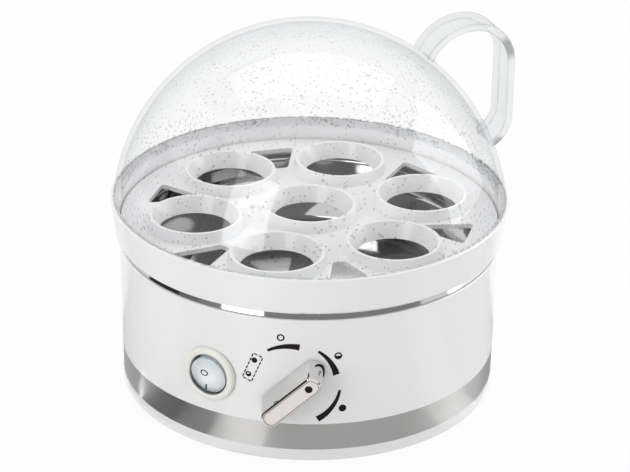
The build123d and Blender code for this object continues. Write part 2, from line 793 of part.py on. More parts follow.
# Rocker: domed button on a cross pivot, at rest with its lower half pressed in
pivot_plane = switch_plane.offset(-rocker_pivot)
tilted_up = pivot_plane.y_dir * cos(radians(rocker_tilt)) + pivot_plane.z_dir * sin(radians(rocker_tilt))
tilted_out = pivot_plane.z_dir * cos(radians(rocker_tilt)) - pivot_plane.y_dir * sin(radians(rocker_tilt))
rocker_plane = Plane(origin=pivot_plane.origin, x_dir=pivot_plane.x_dir, z_dir=tilted_out)
rocker_section = Plane(origin=pivot_plane.origin, x_dir=pivot_plane.x_dir, z_dir=-tilted_up)
crown_radius = (rocker_radius**2 + rocker_crown**2) / (2 * rocker_crown)
with BuildPart() as switch_rocker:
    with BuildSketch(rocker_section):
        with BuildLine():
            Polyline(
                (0, rocker_lift + rocker_crown),
                (0, rocker_lift - rocker_side),
                (rocker_radius, rocker_lift - rocker_side),
                (rocker_radius, rocker_lift),
            )
            RadiusArc((rocker_radius, rocker_lift), (0, rocker_lift + rocker_crown), -crown_radius)
        make_face()
    revolve(axis=Axis(rocker_plane.origin, rocker_plane.z_dir))
    with BuildSketch(Plane(origin=rocker_plane.origin, z_dir=rocker_plane.x_dir)):
        Circle(trunnion_radius)
    extrude(amount=switch_radius - trunnion_fit, both=True)
finish(switch_rocker, "switch_rocker")

# Lamp on the floor of the switch, under the clear rocker
lamp_floor = switch_plane.offset(switch_floor - switch_depth)
with BuildPart() as switch_lamp:
    with BuildSketch(lamp_floor):
        Circle(lamp_radius)
    extrude(amount=lamp_length)
    lamp_tip = switch_lamp.faces().sort_by(Axis(switch_plane.origin, switch_plane.z_dir))[-1]
    fillet(lamp_tip.edges(), radius=lamp_radius / 2)
finish(switch_lamp, "switch_lamp")

# Blade terminals behind the switch
with BuildPart() as switch_terminals:
    with BuildSketch(switch_plane.offset(-switch_depth)):
        with GridLocations(0, blade_pitch, 1, block_ways):
            Rectangle(blade_width, blade_sheet)
    extrude(amount=-blade_length)
finish(switch_terminals, "switch_terminals")

# Cord gland: rubber bush gripped by the edge of its hole
gland_inner = gland_seat - sqrt((wall_radius(gland_height) - wall) ** 2 - gland_flange**2)
with BuildPart() as cord_gland:
    with BuildSketch(wall_plane(gland_angle, gland_seat, gland_height)):
        Circle(gland_flange)
    extrude(amount=gland_flange_height)
    fillet(cord_gland.faces().sort_by(Axis.Y)[-1].edges(), radius=gland_flange_height / 3)
    with BuildSketch(wall_plane(gland_angle, gland_seat, gland_height)):
        Circle(gland_neck)
    extrude(amount=-gland_inner - gland_tail)
    with BuildSketch(wall_plane(gland_angle, gland_seat + gland_flange_height, gland_height)):
        Circle(gland_bore)
    extrude(amount=-gland_flange_height - gland_inner - gland_tail, mode=Mode.SUBTRACT)
finish(cord_gland, "cord_gland")

# Terminal block on the bottom cover
block_place = spigot_ring - block_inset
with BuildPart() as terminal_block:
    with BuildSketch(Plane.XY.offset(cover_top)):
        with Locations((0, block_place)):
            RectangleRounded(block_width, block_depth, tab_sheet)
    extrude(amount=block_height)
    with BuildSketch(Plane.XY.offset(cover_top + block_height)):
        with Locations((0, block_place)):
            with GridLocations(block_width / block_ways, 0, block_ways, 1):
                Circle(block_hole)
    extrude(amount=-block_height / 2, mode=Mode.SUBTRACT)
finish(terminal_block, "terminal_block")

# Inner leads: each runs from one terminal to the next, its straight runs joined by arcs
block_pitch = block_width / block_ways
block_well = cover_top + block_height / 2
pin_end = bead_top - pin_length
tab_side = sensor_radius / 2
tab_end = plate_low - sensor_height - tab_length
fuse_end = plate_low - fuse_lead_drop
relay_back = relay_depth - board_back
relay_sides = (relay_side - relay_width / 4, relay_side + relay_width / 4)
relay_heights = (relay_middle + relay_height / 4, relay_middle - relay_height / 4)
blade_ends = switch_plane.offset(-switch_depth - blade_length)
blade_runs = blade_ends.offset(-lead_rise)
feed_end = blade_ends.from_local_coords((0, -blade_pitch))
feed_run = blade_runs.from_local_coords((0, -blade_pitch))
feed_start = (-block_pitch, block_place, lead_high)
sensor_run = (-tab_side, sensor_offset, tab_end - lead_rise)
fuse_run = (-fuse_reach, -sensor_offset, fuse_end - lead_rise)
coil_run = (relay_sides[0], relay_back + lead_rise, relay_heights[0])
element_start = (relay_sides[1], relay_back + lead_rise, relay_heights[1])
element_run = (-element_end[0], element_end[1], lead_low)
live_route = [
    (-block_pitch, block_place, block_well),
    feed_start,
    hang(feed_start, feed_run, lead_sag, lead_aside),
    feed_run,
    feed_end,
]
neutral_route = [
    (block_pitch, block_place, block_well),
    (block_pitch, block_place, lead_high),
    (element_end[0], sensor_offset, lead_low),
    (element_end[0], element_end[1], lead_low),
    (element_end[0], element_end[1], pin_end),
]
earth_route = [
    (0, block_place, block_well),
    (0, block_place, lead_high + lead_sag),
    (earth_place, 0, strap_low - lead_rise),
    (earth_place, 0, strap_low),
]
thermostat_route = [
    blade_ends.origin,
    blade_runs.origin,
    hang(blade_runs.origin, sensor_run, lead_sag, lead_sag),
    sensor_run,
    (-tab_side, sensor_offset, tab_end),
]
fuse_route = [
    (tab_side, sensor_offset, tab_end),
    (tab_side, sensor_offset, tab_end - lead_rise),
    (fuse_reach, -sensor_offset, fuse_end - lead_rise),
    (fuse_reach, -sensor_offset, fuse_end),
]
relay_route = [
    (-fuse_reach, -sensor_offset, fuse_end),
    fuse_run,
    coil_run,
    (relay_sides[0], relay_back, relay_heights[0]),
]
element_route = [
    (relay_sides[1], relay_back, relay_heights[1]),
    element_start,
    hang(element_start, element_run, lead_sag),
    element_run,
    (-element_end[0], element_end[1], pin_end),
]
lead_sets = {
    "live_lead": [live_route],
    "neutral_lead": [neutral_route],
    "earth_lead": [earth_route],
    "sensor_leads": [thermostat_route, fuse_route, relay_route, element_route],
}
for lead_name, routes in lead_sets.items():
    with BuildPart() as leads:
        for route in routes:
            with BuildLine() as lead_line:
                FilletPolyline(*route, radius=lead_arcs(route))
            with BuildSketch(Plane(origin=lead_line.line @ 0, z_dir=lead_line.line % 0)):
                Circle(lead_radius)
            sweep()
    finish(leads, lead_name)

# Collar of the egg tray: flared ring that stands on the bowl's rim by an inner ledge
collar_inner_top = collar_high_radius - collar_wall
collar_skirt = rim_radius + collar_fit
ledge_outer = collar_radius(ledge_top) - collar_wall
with BuildPart() as tray_collar:
    with BuildSketch(Plane.XZ) as collar_section:
        with BuildLine():
            Polyline(
                (collar_low_radius, collar_low),
                (collar_high_radius, collar_high),
                (collar_inner_top, collar_high),
                (ledge_outer, ledge_top),
                (collar_skirt - ledge_width, ledge_top),
                (collar_skirt - ledge_width, rim_top),
                (collar_skirt, rim_top),
                (collar_skirt, collar_low),
                close=True,
            )
        make_face()
        fillet(collar_section.vertices().group_by(Axis.Y)[0].sort_by(Axis.X)[-1], radius=collar_round)
        fillet(collar_section.vertices().group_by(Axis.Y)[-1].sort_by(Axis.X)[-1], radius=collar_top_round)
    revolve(axis=Axis.Z)
finish(tray_collar, "tray_collar")

# Egg plate: seven raised cups, with steam windows between the outer ones
tray_radius = ledge_outer - tray_fit
cup_foot = cup_mouth + cup_lip + cup_height * tan(radians(cup_draft))
cup_ring = 2 * cup_foot + cup_gap
cup_depth = cup_height + tray_sheet
funnel_draft = degrees(atan2(cup_mouth - cup_hole, cup_depth))
window_start = cup_start + 180 / cup_count
window_outer = cup_ring + cup_foot - window_inset
window_inner = window_outer - window_length
with BuildPart() as egg_plate:
    with BuildSketch(Plane.XY.offset(tray_low)):
        Circle(tray_radius)
    extrude(amount=tray_sheet)
    with BuildSketch(Plane.XY.offset(ledge_top)):
        Circle(tray_radius)
        Circle(tray_radius - tray_hem, mode=Mode.SUBTRACT)
    extrude(amount=tray_rise)
    with BuildSketch(Plane.XY.offset(tray_top)):
        Circle(cup_foot)
        with PolarLocations(cup_ring, cup_count, cup_start):
            Circle(cup_foot)
    extrude(amount=cup_height, taper=cup_draft)
    with BuildSketch(Plane.XY.offset(cup_top)):
        Circle(cup_mouth)
        with PolarLocations(cup_ring, cup_count, cup_start):
            Circle(cup_mouth)
    extrude(amount=-cup_depth, taper=funnel_draft, mode=Mode.SUBTRACT)
    with BuildSketch(Plane.XY.offset(tray_low)) as windows:
        with PolarLocations(0, cup_count, window_start):
            Polygon(
                (window_inner, -window_narrow / 2),
                (window_outer, -window_wide / 2),
                (window_outer, window_wide / 2),
                (window_inner, window_narrow / 2),
                align=None,
            )
        fillet(windows.vertices(), radius=window_round)
    extrude(amount=tray_sheet, mode=Mode.SUBTRACT)
finish(egg_plate, "egg_plate")

# Lid dome: part of a sphere on a rim that steps down inside the collar
dome_shoulder = collar_high_radius - dome_inset
dome_radius = (dome_shoulder**2 + dome_height**2) / (2 * dome_height)
dome_centre = collar_high + dome_height - dome_radius
rim_rise = degrees(asin((collar_high - dome_centre) / dome_radius))
collar_draft = (collar_inner_top - ledge_outer) / (collar_high - ledge_top)
spigot_outer = collar_inner_top - spigot_fit - spigot_depth * collar_draft
spigot_inner = spigot_outer - spigot_wall
dome_inner = dome_radius - dome_wall
inner_rise = sqrt(dome_inner**2 - spigot_inner**2)
with BuildPart() as lid_dome:
    with BuildSketch(Plane.XZ):
        with BuildLine():
            CenterArc((0, dome_centre), dome_radius, 90, rim_rise - 90)
            Polyline(
                (dome_shoulder, collar_high),
                (spigot_outer, collar_high),
                (spigot_outer, collar_high - spigot_depth),
                (spigot_inner, collar_high - spigot_depth),
                (spigot_inner, dome_centre + inner_rise),
            )
            RadiusArc((spigot_inner, dome_centre + inner_rise), (0, dome_centre + dome_inner), -dome_inner)
            Line((0, dome_centre + dome_inner), (0, dome_centre + dome_radius))
        make_face()
    revolve(axis=Axis.Z)
finish(lid_dome, "lid_dome")

# Lid handle: a flat band bent into a loop, both ends seated on the dome and rounded into it
handle_plane = radial_plane(handle_angle)
handle_top = dome_centre + dome_radius - handle_drop
handle_reach = dome_radius + handle_gap
handle_top_reach = handle_reach - handle_corner
handle_foot_height = dome_centre + handle_foot_rise
root_rise = handle_top - handle_root_round - dome_centre
root_line = degrees(atan2(root_rise, handle_top_reach))
root_turn = 90 + root_line - dome_turn(handle_top_reach, root_rise, handle_root_round) + handle_root_lap
foot_reach = handle_reach - handle_foot_round
foot_line = degrees(atan2(handle_foot_rise, foot_reach))
foot_turn = 180 - foot_line - dome_turn(foot_reach, handle_foot_rise, handle_foot_round) + handle_foot_lap
flare_half = handle_width / 2 - handle_edge - flare_inset
root_circle = sqrt(dome_radius**2 - (handle_width / 2) ** 2)
with BuildLine() as handle_line:
    CenterArc(
        (handle_top_reach, handle_top - handle_root_round),
        handle_root_round,
        90 + root_turn,
        -root_turn,
    )
    CenterArc((handle_top_reach, handle_top - handle_corner), handle_corner, 90, -90)
    Line((handle_reach, handle_top - handle_corner), (handle_reach, handle_foot_height))
    CenterArc((foot_reach, handle_foot_height), handle_foot_round, 0, -foot_turn)
handle_wire = handle_plane * handle_line.wires()[0]
with BuildPart() as lid_handle:
    with BuildSketch(Plane(origin=handle_wire @ 0, x_dir=handle_plane.z_dir, z_dir=handle_wire % 0)):
        RectangleRounded(handle_width, handle_sheet, handle_edge)
    sweep(path=handle_wire)
    with BuildSketch(handle_plane) as root_rounds:
        trace(handle_line.line, line_width=handle_sheet - 2 * flare_lap)
        with Locations((0, dome_centre)):
            Circle(root_circle)
        root_corners = root_rounds.vertices().sort_by_distance((0, dome_centre))[:4]
        fillet(root_corners.sort_by(Axis.Y)[1:3], radius=handle_flare)
        with Locations((0, dome_centre)):
            Circle(root_circle, mode=Mode.SUBTRACT)
    extrude(amount=flare_half, both=True)
    with Locations((0, 0, dome_centre)):
        Sphere(dome_radius, mode=Mode.SUBTRACT)
finish(lid_handle, "lid_handle")
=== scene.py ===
import json
import logging
import math
from dataclasses import dataclass, field, replace
from enum import Enum
from typing import Any, Dict, List, Optional, Sequence, Tuple, Union

import bmesh
import bpy
from mathutils import Matrix, Vector
from mathutils.bvhtree import BVHTree


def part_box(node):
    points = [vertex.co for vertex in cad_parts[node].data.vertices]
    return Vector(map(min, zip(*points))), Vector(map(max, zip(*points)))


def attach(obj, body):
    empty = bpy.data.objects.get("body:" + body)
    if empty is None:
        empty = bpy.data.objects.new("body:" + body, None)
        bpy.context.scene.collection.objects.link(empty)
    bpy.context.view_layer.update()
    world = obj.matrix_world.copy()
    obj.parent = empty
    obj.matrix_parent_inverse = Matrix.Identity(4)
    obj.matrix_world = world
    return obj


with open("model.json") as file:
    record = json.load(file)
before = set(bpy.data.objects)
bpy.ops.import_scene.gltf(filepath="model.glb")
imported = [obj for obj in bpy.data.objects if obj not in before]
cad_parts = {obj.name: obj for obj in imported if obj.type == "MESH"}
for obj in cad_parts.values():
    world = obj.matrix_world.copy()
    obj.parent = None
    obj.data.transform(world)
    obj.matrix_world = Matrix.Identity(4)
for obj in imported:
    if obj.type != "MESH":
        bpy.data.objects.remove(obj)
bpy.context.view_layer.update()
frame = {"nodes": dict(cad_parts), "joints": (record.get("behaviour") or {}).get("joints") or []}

LOG = logging.getLogger("egg_cooker")
MM = 0.001
TOUCHING = 1e-7  # metres within which two corners are one
WAVE_RATE = 20.0  # radians that a wave texture gains to a metre, at a scale of one

Colour = Tuple[float, float, float]
Span = Tuple[float, float]
Feed = Union["Value", bpy.types.NodeSocket, float, Sequence[float]]
Settings = Dict[str, Any]
Inputs = Dict[Union[str, int], Feed]


# Shader maths


class Value:
    """A socket in a node tree that can stand in arithmetic."""

    def __init__(self, tree: bpy.types.NodeTree, socket: bpy.types.NodeSocket) -> None:
        """Hold a socket and its tree.

        Args:
            tree: The node tree that the socket is in.
            socket: An output socket.
        """
        self.tree = tree
        self.socket = socket

    def math(self, operation: str, *terms: Feed) -> "Value":
        """Add a Math node.

        Args:
            operation: The node's operation.
            terms: What feeds its inputs, in order.

        Returns:
            The node's result.
        """
        node = self.tree.nodes.new("ShaderNodeMath")
        node.operation = operation
        for socket, term in zip(node.inputs, terms):
            feed(self.tree, socket, term)
        return Value(self.tree, node.outputs[0])

    def __add__(self, other: Feed) -> "Value":
        """Sum of two values."""
        return self.math("ADD", self, other)

    def __radd__(self, other: Feed) -> "Value":
        """Sum with the value on the right."""
        return self.math("ADD", other, self)

    def __sub__(self, other: Feed) -> "Value":
        """Difference of two values."""
        return self.math("SUBTRACT", self, other)

    def __rsub__(self, other: Feed) -> "Value":
        """Difference with the value on the right."""
        return self.math("SUBTRACT", other, self)

    def __mul__(self, other: Feed) -> "Value":
        """Product of two values."""
        return self.math("MULTIPLY", self, other)

    def __rmul__(self, other: Feed) -> "Value":
        """Product with the value on the right."""
        return self.math("MULTIPLY", other, self)

    def __pow__(self, other: Feed) -> "Value":
        """Power of a value."""
        return self.math("POWER", self, other)

    def most(self, other: Feed) -> "Value":
        """Larger of two values."""
        return self.math("MAXIMUM", self, other)

    def size(self) -> "Value":
        """The value without its sign."""
        return self.math("ABSOLUTE", self)

    def below(self, limit: Feed) -> "Value":
        """One where the value is under a limit, and nought elsewhere."""
        return self.math("LESS_THAN", self, limit)


def feed(tree: bpy.types.NodeTree, socket: bpy.types.NodeSocket, value: Feed) -> None:
    """Link or set an input socket.

    Args:
        tree: The node tree.
        socket: The input socket.
        value: A value, an output socket, a number or a row of numbers.
    """
    if isinstance(value, Value):
        tree.links.new(value.socket, socket)
    elif isinstance(value, bpy.types.NodeSocket):
        tree.links.new(value, socket)
    elif isinstance(value, (int, float)):
        socket.default_value = value
    else:
        numbers = list(value)
        wanted = len(socket.default_value)
        socket.default_value = numbers + [1.0] * (wanted - len(numbers))


class Nodes:
    """Node tree of a material or of the world."""

    def __init__(self, tree: bpy.types.NodeTree) -> None:
        """Empty a tree, ready to be filled."""
        self.tree = tree
        tree.nodes.clear()

    def node(
        self, kind: str, settings: Optional[Settings] = None, inputs: Optional[Inputs] = None
    ) -> bpy.types.Node:
        """Make any node other than arithmetic.

        Args:
            kind: The node's type, without its ShaderNode prefix.
            settings: The node's own settings, set first.
            inputs: What feeds its sockets, by name or number.

        Returns:
            The node.
        """
        node = self.tree.nodes.new("ShaderNode" + kind)
        for name, value in (settings or {}).items():
            setattr(node, name, value)
        for name, value in (inputs or {}).items():
            feed(self.tree, node.inputs[name], value)
        return node

    def add(
        self,
        kind: str,
        settings: Optional[Settings] = None,
        inputs: Optional[Inputs] = None,
        output: Union[str, int] = 0,
    ) -> Value:
        """Make a node, as node does, and take the output of this name or number."""
        return Value(self.tree, self.node(kind, settings, inputs).outputs[output])

    def place(self) -> Value:
        """Object coordinates of the surface."""
        return self.add("TexCoord", output="Object")

    def part(self, place: Feed, axis: int) -> Value:
        """One coordinate of a place, counted from nought."""
        return self.add("SeparateXYZ", inputs={0: place}, output=axis)

    def vector(self, operation: str, *terms: Feed, output: str = "Vector") -> Value:
        """Result of a Vector Math node, as a vector or as a Value."""
        return self.add("VectorMath", {"operation": operation}, dict(enumerate(terms)), output)

    def noise(self, place: Feed, scale: float, detail: float = 2.0) -> Value:
        """Smooth noise from nought to one, with so many cells to a metre and octaves of detail."""
        return self.add("TexNoise", inputs={"Vector": place, "Scale": scale, "Detail": detail})

    def wave(self, place: Feed, way: str, scale: float) -> Value:
        """Bands from nought to one along an axis or the diagonal."""
        inputs: Inputs = {"Vector": place, "Scale": scale}
        return self.add("TexWave", {"bands_direction": way}, inputs, "Fac")

    def stretch(self, place: Feed, scale: Sequence[float]) -> Value:
        """Scale coordinates by a vector."""
        return self.add("Mapping", {"vector_type": "POINT"}, {"Vector": place, "Scale": scale})

    def blend(self, share: Feed, first: Feed, second: Feed) -> Value:
        """Mix two colours by a share."""
        return self.add("Mix", {"data_type": "RGBA"}, {0: share, 6: first, 7: second}, 2)

    def rise(self, value: Feed, low: Feed, high: Feed) -> Value:
        """Smooth step from nought at low to one at high."""
        inputs: Inputs = {"Value": value, "From Min": low, "From Max": high}
        return self.add("MapRange", {"interpolation_type": "SMOOTHSTEP"}, inputs)

    def bump(self, height: Feed, depth: float) -> Value:
        """Normal of a relief from nought to one that is so many metres deep."""
        return self.add("Bump", inputs={"Height": height, "Distance": depth, "Strength": 1.0})

    def principled(self, inputs: Inputs) -> Value:
        """A Principled shader with these inputs."""
        return self.add("BsdfPrincipled", inputs=inputs)

    def glow(self, colour: Colour) -> Value:
        """An Emission shader of one colour."""
        return self.add("Emission", inputs={"Color": colour, "Strength": 1.0})

    def clear(self, colour: Colour) -> Value:
        """A Transparent shader of one colour."""
        return self.add("BsdfTransparent", inputs={"Color": colour})

    def mix(self, share: Feed, first: Feed, second: Feed) -> Value:
        """Mix two shaders by a share."""
        return self.add("MixShader", inputs={0: share, 1: first, 2: second})

    def show(self, shader: Feed, kind: str = "OutputMaterial") -> None:
        """Send a shader to the output."""
        self.node(kind, inputs={"Surface": shader})


def shade(colour: Colour, share: float) -> Colour:
    """Multiply a colour by a share."""
    return (colour[0] * share, colour[1] * share, colour[2] * share)


# Finishes


class Grain(Enum):
    """Way the fine lines of a worked metal run."""

    ROUND = "round the upright axis"
    LENGTHWISE = "along the cooker's width"
    CAST = "no lines"


@dataclass(frozen=True)
class Finish:
    """A surface finish, made into a material once.

    In the finishes, a tone is how far a colour changes to either side, a mottle or a speckle how
    far the roughness does, and what is counted in cells is counted to a metre.
    """

    name: str

    def material(self) -> bpy.types.Material:
        """The finish's material, made on first use.

        Returns:
            The material.
        """
        name = f"finish_{self.name}"
        made = bpy.data.materials.get(name)
        if made is None:
            made = bpy.data.materials.new(name)
            made.use_nodes = True
            nodes = Nodes(made.node_tree)
            nodes.show(self.surface(nodes))
        return made

    def surface(self, nodes: Nodes) -> Value:
        """The finish's shader, made in a node tree."""
        raise NotImplementedError


@dataclass(frozen=True)
class MouldedPlastic(Finish):
    """Injection-moulded plastic with a fine skin and soft changes of tone."""

    colour: Colour = (0.8, 0.8, 0.8)
    roughness: float = 0.3
    grain: float = 0.5 * MM
    relief: float = 0.004 * MM
    tone: float = 0.02
    patch: float = 30 * MM
    coat: float = 0.0
    shine: float = 0.5
    mottle: float = 0.10
    speckle: float = 0.06
    coat_roughness: float = 0.08

    def tint(self, nodes: Nodes, place: Value, broad: Value) -> Value:
        """Colour that changes softly over the piece.

        Args:
            nodes: The node tree.
            place: Object coordinates.
            broad: Broad noise.

        Returns:
            The colour.
        """
        dark, pale = shade(self.colour, 1 - self.tone), shade(self.colour, 1 + self.tone)
        return nodes.blend(broad, dark, pale)

    def surface(self, nodes: Nodes) -> Value:
        """Plastic with its tint, skin and coat.

        Args:
            nodes: The node tree.

        Returns:
            The shader.
        """
        place = nodes.place()
        skin = nodes.noise(place, 1 / self.grain)
        broad = nodes.noise(place, 1 / self.patch, detail=3.0)
        gloss = self.roughness + self.mottle * (broad - 0.5) + self.speckle * (skin - 0.5)
        return nodes.principled(
            {
                "Base Color": self.tint(nodes, place, broad),
                "Roughness": gloss,
                "Specular IOR Level": self.shine,
                "Coat Weight": self.coat,
                "Coat Roughness": self.coat_roughness,
                "Normal": nodes.bump(skin, self.relief),
            }
        )


@dataclass(frozen=True)
class RecessedPlastic(MouldedPlastic):
    """Moulded plastic round a recess, with painted shade low on the recess's wall."""

    # Painted shade: the recess's middle, its axis, radius, shade colour, and the bands over which
    # the shade fades across the lip and upwards.
    centre: Colour = (0.0, 0.0, 0.0)
    axis: Colour = (0.0, -1.0, 0.0)
    recess: float = 0.0
    shaded: Colour = (0.16, 0.175, 0.17)
    lip: Span = (0.1 * MM, 0.4 * MM)
    fade: Span = (-6.0 * MM, 3.0 * MM)

    def tint(self, nodes: Nodes, place: Value, broad: Value) -> Value:
        """Colour that changes softly, with painted shade within the recess.

        Args:
            nodes: The node tree.
            place: Object coordinates.
            broad: Broad noise.

        Returns:
            The colour.
        """
        plain = super().tint(nodes, place, broad)
        # Painted shade: darken towards the shade colour on the recess's wall, fading out over the
        # lip and upwards.
        arm = nodes.vector("SUBTRACT", place, self.centre)
        turned = nodes.vector("CROSS_PRODUCT", arm, self.axis)
        away = nodes.vector("LENGTH", turned, output="Value")
        clear = nodes.rise(away, self.recess + self.lip[0], self.recess + self.lip[1])
        clear = clear.most(nodes.rise(nodes.part(arm, 2), *self.fade))
        return nodes.blend(clear, self.shaded, plain)


@dataclass(frozen=True)
class WorkedMetal(Finish):
    """Sheet or turned metal with fine lines, or cast with none."""

    colour: Colour = (0.55, 0.55, 0.55)
    roughness: float = 0.3
    grain: Grain = Grain.ROUND
    line: float = 0.3 * MM
    relief: float = 0.003 * MM
    drawn: float = 0.0
    tone: float = 0.12
    long_cells: float = 12.0
    broad_cells: float = 35.0
    line_mottle: float = 0.16
    mottle: float = 0.05
    least_gloss: float = 0.02
    quarter_turn: float = 0.25

    def lines(self, nodes: Nodes, place: Value) -> Value:
        """Noise drawn out along the way that the metal was worked.

        Args:
            nodes: The node tree.
            place: Object coordinates.

        Returns:
            The lines, from nought to one.
        """
        fine, slow = 1 / self.line, self.long_cells
        if self.grain is Grain.CAST:
            return nodes.noise(place, fine, detail=3.0)
        if self.grain is Grain.LENGTHWISE:
            return nodes.noise(nodes.stretch(place, (slow, fine, fine)), 1.0, detail=3.0)
        flat = nodes.vector("MULTIPLY", place, (1.0, 1.0, 0.0))
        radius = nodes.vector("LENGTH", flat, output="Value")
        side, height = nodes.part(place, 0), nodes.part(place, 2)
        rows: Inputs = {0: radius * fine, 1: height * fine, 2: side * slow}
        return nodes.noise(nodes.add("CombineXYZ", inputs=rows), 1.0, detail=3.0)

    def surface(self, nodes: Nodes) -> Value:
        """Metal with its lines.

        Args:
            nodes: The node tree.

        Returns:
            The shader.
        """
        place = nodes.place()
        lines = self.lines(nodes, place)
        broad = nodes.noise(place, self.broad_cells)
        dark, pale = shade(self.colour, 1 - self.tone), shade(self.colour, 1 + self.tone)
        gloss = self.roughness + self.line_mottle * self.roughness * (lines - 0.5)
        gloss = gloss + self.mottle * (broad - 0.5)
        return nodes.principled(
            {
                "Base Color": nodes.blend(lines, dark, pale),
                "Metallic": 1.0,
                "Roughness": gloss.most(self.least_gloss),
                "Anisotropic": self.drawn,
                "Anisotropic Rotation": self.quarter_turn,
                "Normal": nodes.bump(lines, self.relief),
            }
        )


@dataclass(frozen=True)
class PlatedBar(Finish):
    """Bright plating on the sides, and a pearly satin face towards the front."""

    chrome: Colour = (0.70, 0.69, 0.685)
    pearl: Colour = (0.82, 0.775, 0.75)
    bright: float = 0.05
    satin: float = 0.32
    pearl_metal: float = 0.25
    pearl_tone: float = 0.04
    pearl_coat: float = 0.4
    coat_roughness: float = 0.06
    face_lean: float = -0.9
    haze_cells: float = 420.0
    wave_cells: float = 300.0
    wave_mottle: float = 0.02
    wave_depth: float = 0.002 * MM

    def surface(self, nodes: Nodes) -> Value:
        """Plating and pearl, parted by which way the surface faces.

        Args:
            nodes: The node tree.

        Returns:
            The shader.
        """
        place = nodes.place()
        haze = nodes.noise(place, self.haze_cells, detail=3.0)
        waves = nodes.noise(place, self.wave_cells, detail=1.0)
        front = nodes.part(nodes.add("TexCoord", output="Normal"), 1).below(self.face_lean)
        dark, pale = shade(self.pearl, 1 - self.pearl_tone), shade(self.pearl, 1 + self.pearl_tone)
        pearl = nodes.blend(haze, dark, pale)
        gloss = self.bright + self.wave_mottle * waves + (self.satin - self.bright) * front
        return nodes.principled(
            {
                "Base Color": nodes.blend(front, self.chrome, pearl),
                "Metallic": 1 - (1 - self.pearl_metal) * front,
                "Roughness": gloss,
                "Coat Weight": self.pearl_coat * front,
                "Coat Roughness": self.coat_roughness,
                "Normal": nodes.bump(waves, self.wave_depth),
            }
        )


@dataclass(frozen=True)
class StripedSleeve(Finish):
    """Soft sleeve of a lead in two colours that wind round it."""

    first: Colour = (0.06, 0.22, 0.03)
    second: Colour = (0.62, 0.50, 0.03)
    pitch: float = 5.0 * MM
    border: Span = (0.62, 0.70)
    roughness: float = 0.42
    speckle: float = 0.1
    skin_cells: float = 2500.0
    relief: float = 0.004 * MM

    def surface(self, nodes: Nodes) -> Value:
        """Sleeve with its two colours.

        Args:
            nodes: The node tree.

        Returns:
            The shader.
        """
        place = nodes.place()
        wound = nodes.wave(place, "DIAGONAL", math.tau / (WAVE_RATE * self.pitch))
        skin = nodes.noise(place, self.skin_cells)
        tint = nodes.blend(nodes.rise(wound, *self.border), self.first, self.second)
        return nodes.principled(
            {
                "Base Color": tint,
                "Roughness": self.roughness + self.speckle * (skin - 0.5),
                "Normal": nodes.bump(skin, self.relief),
            }
        )


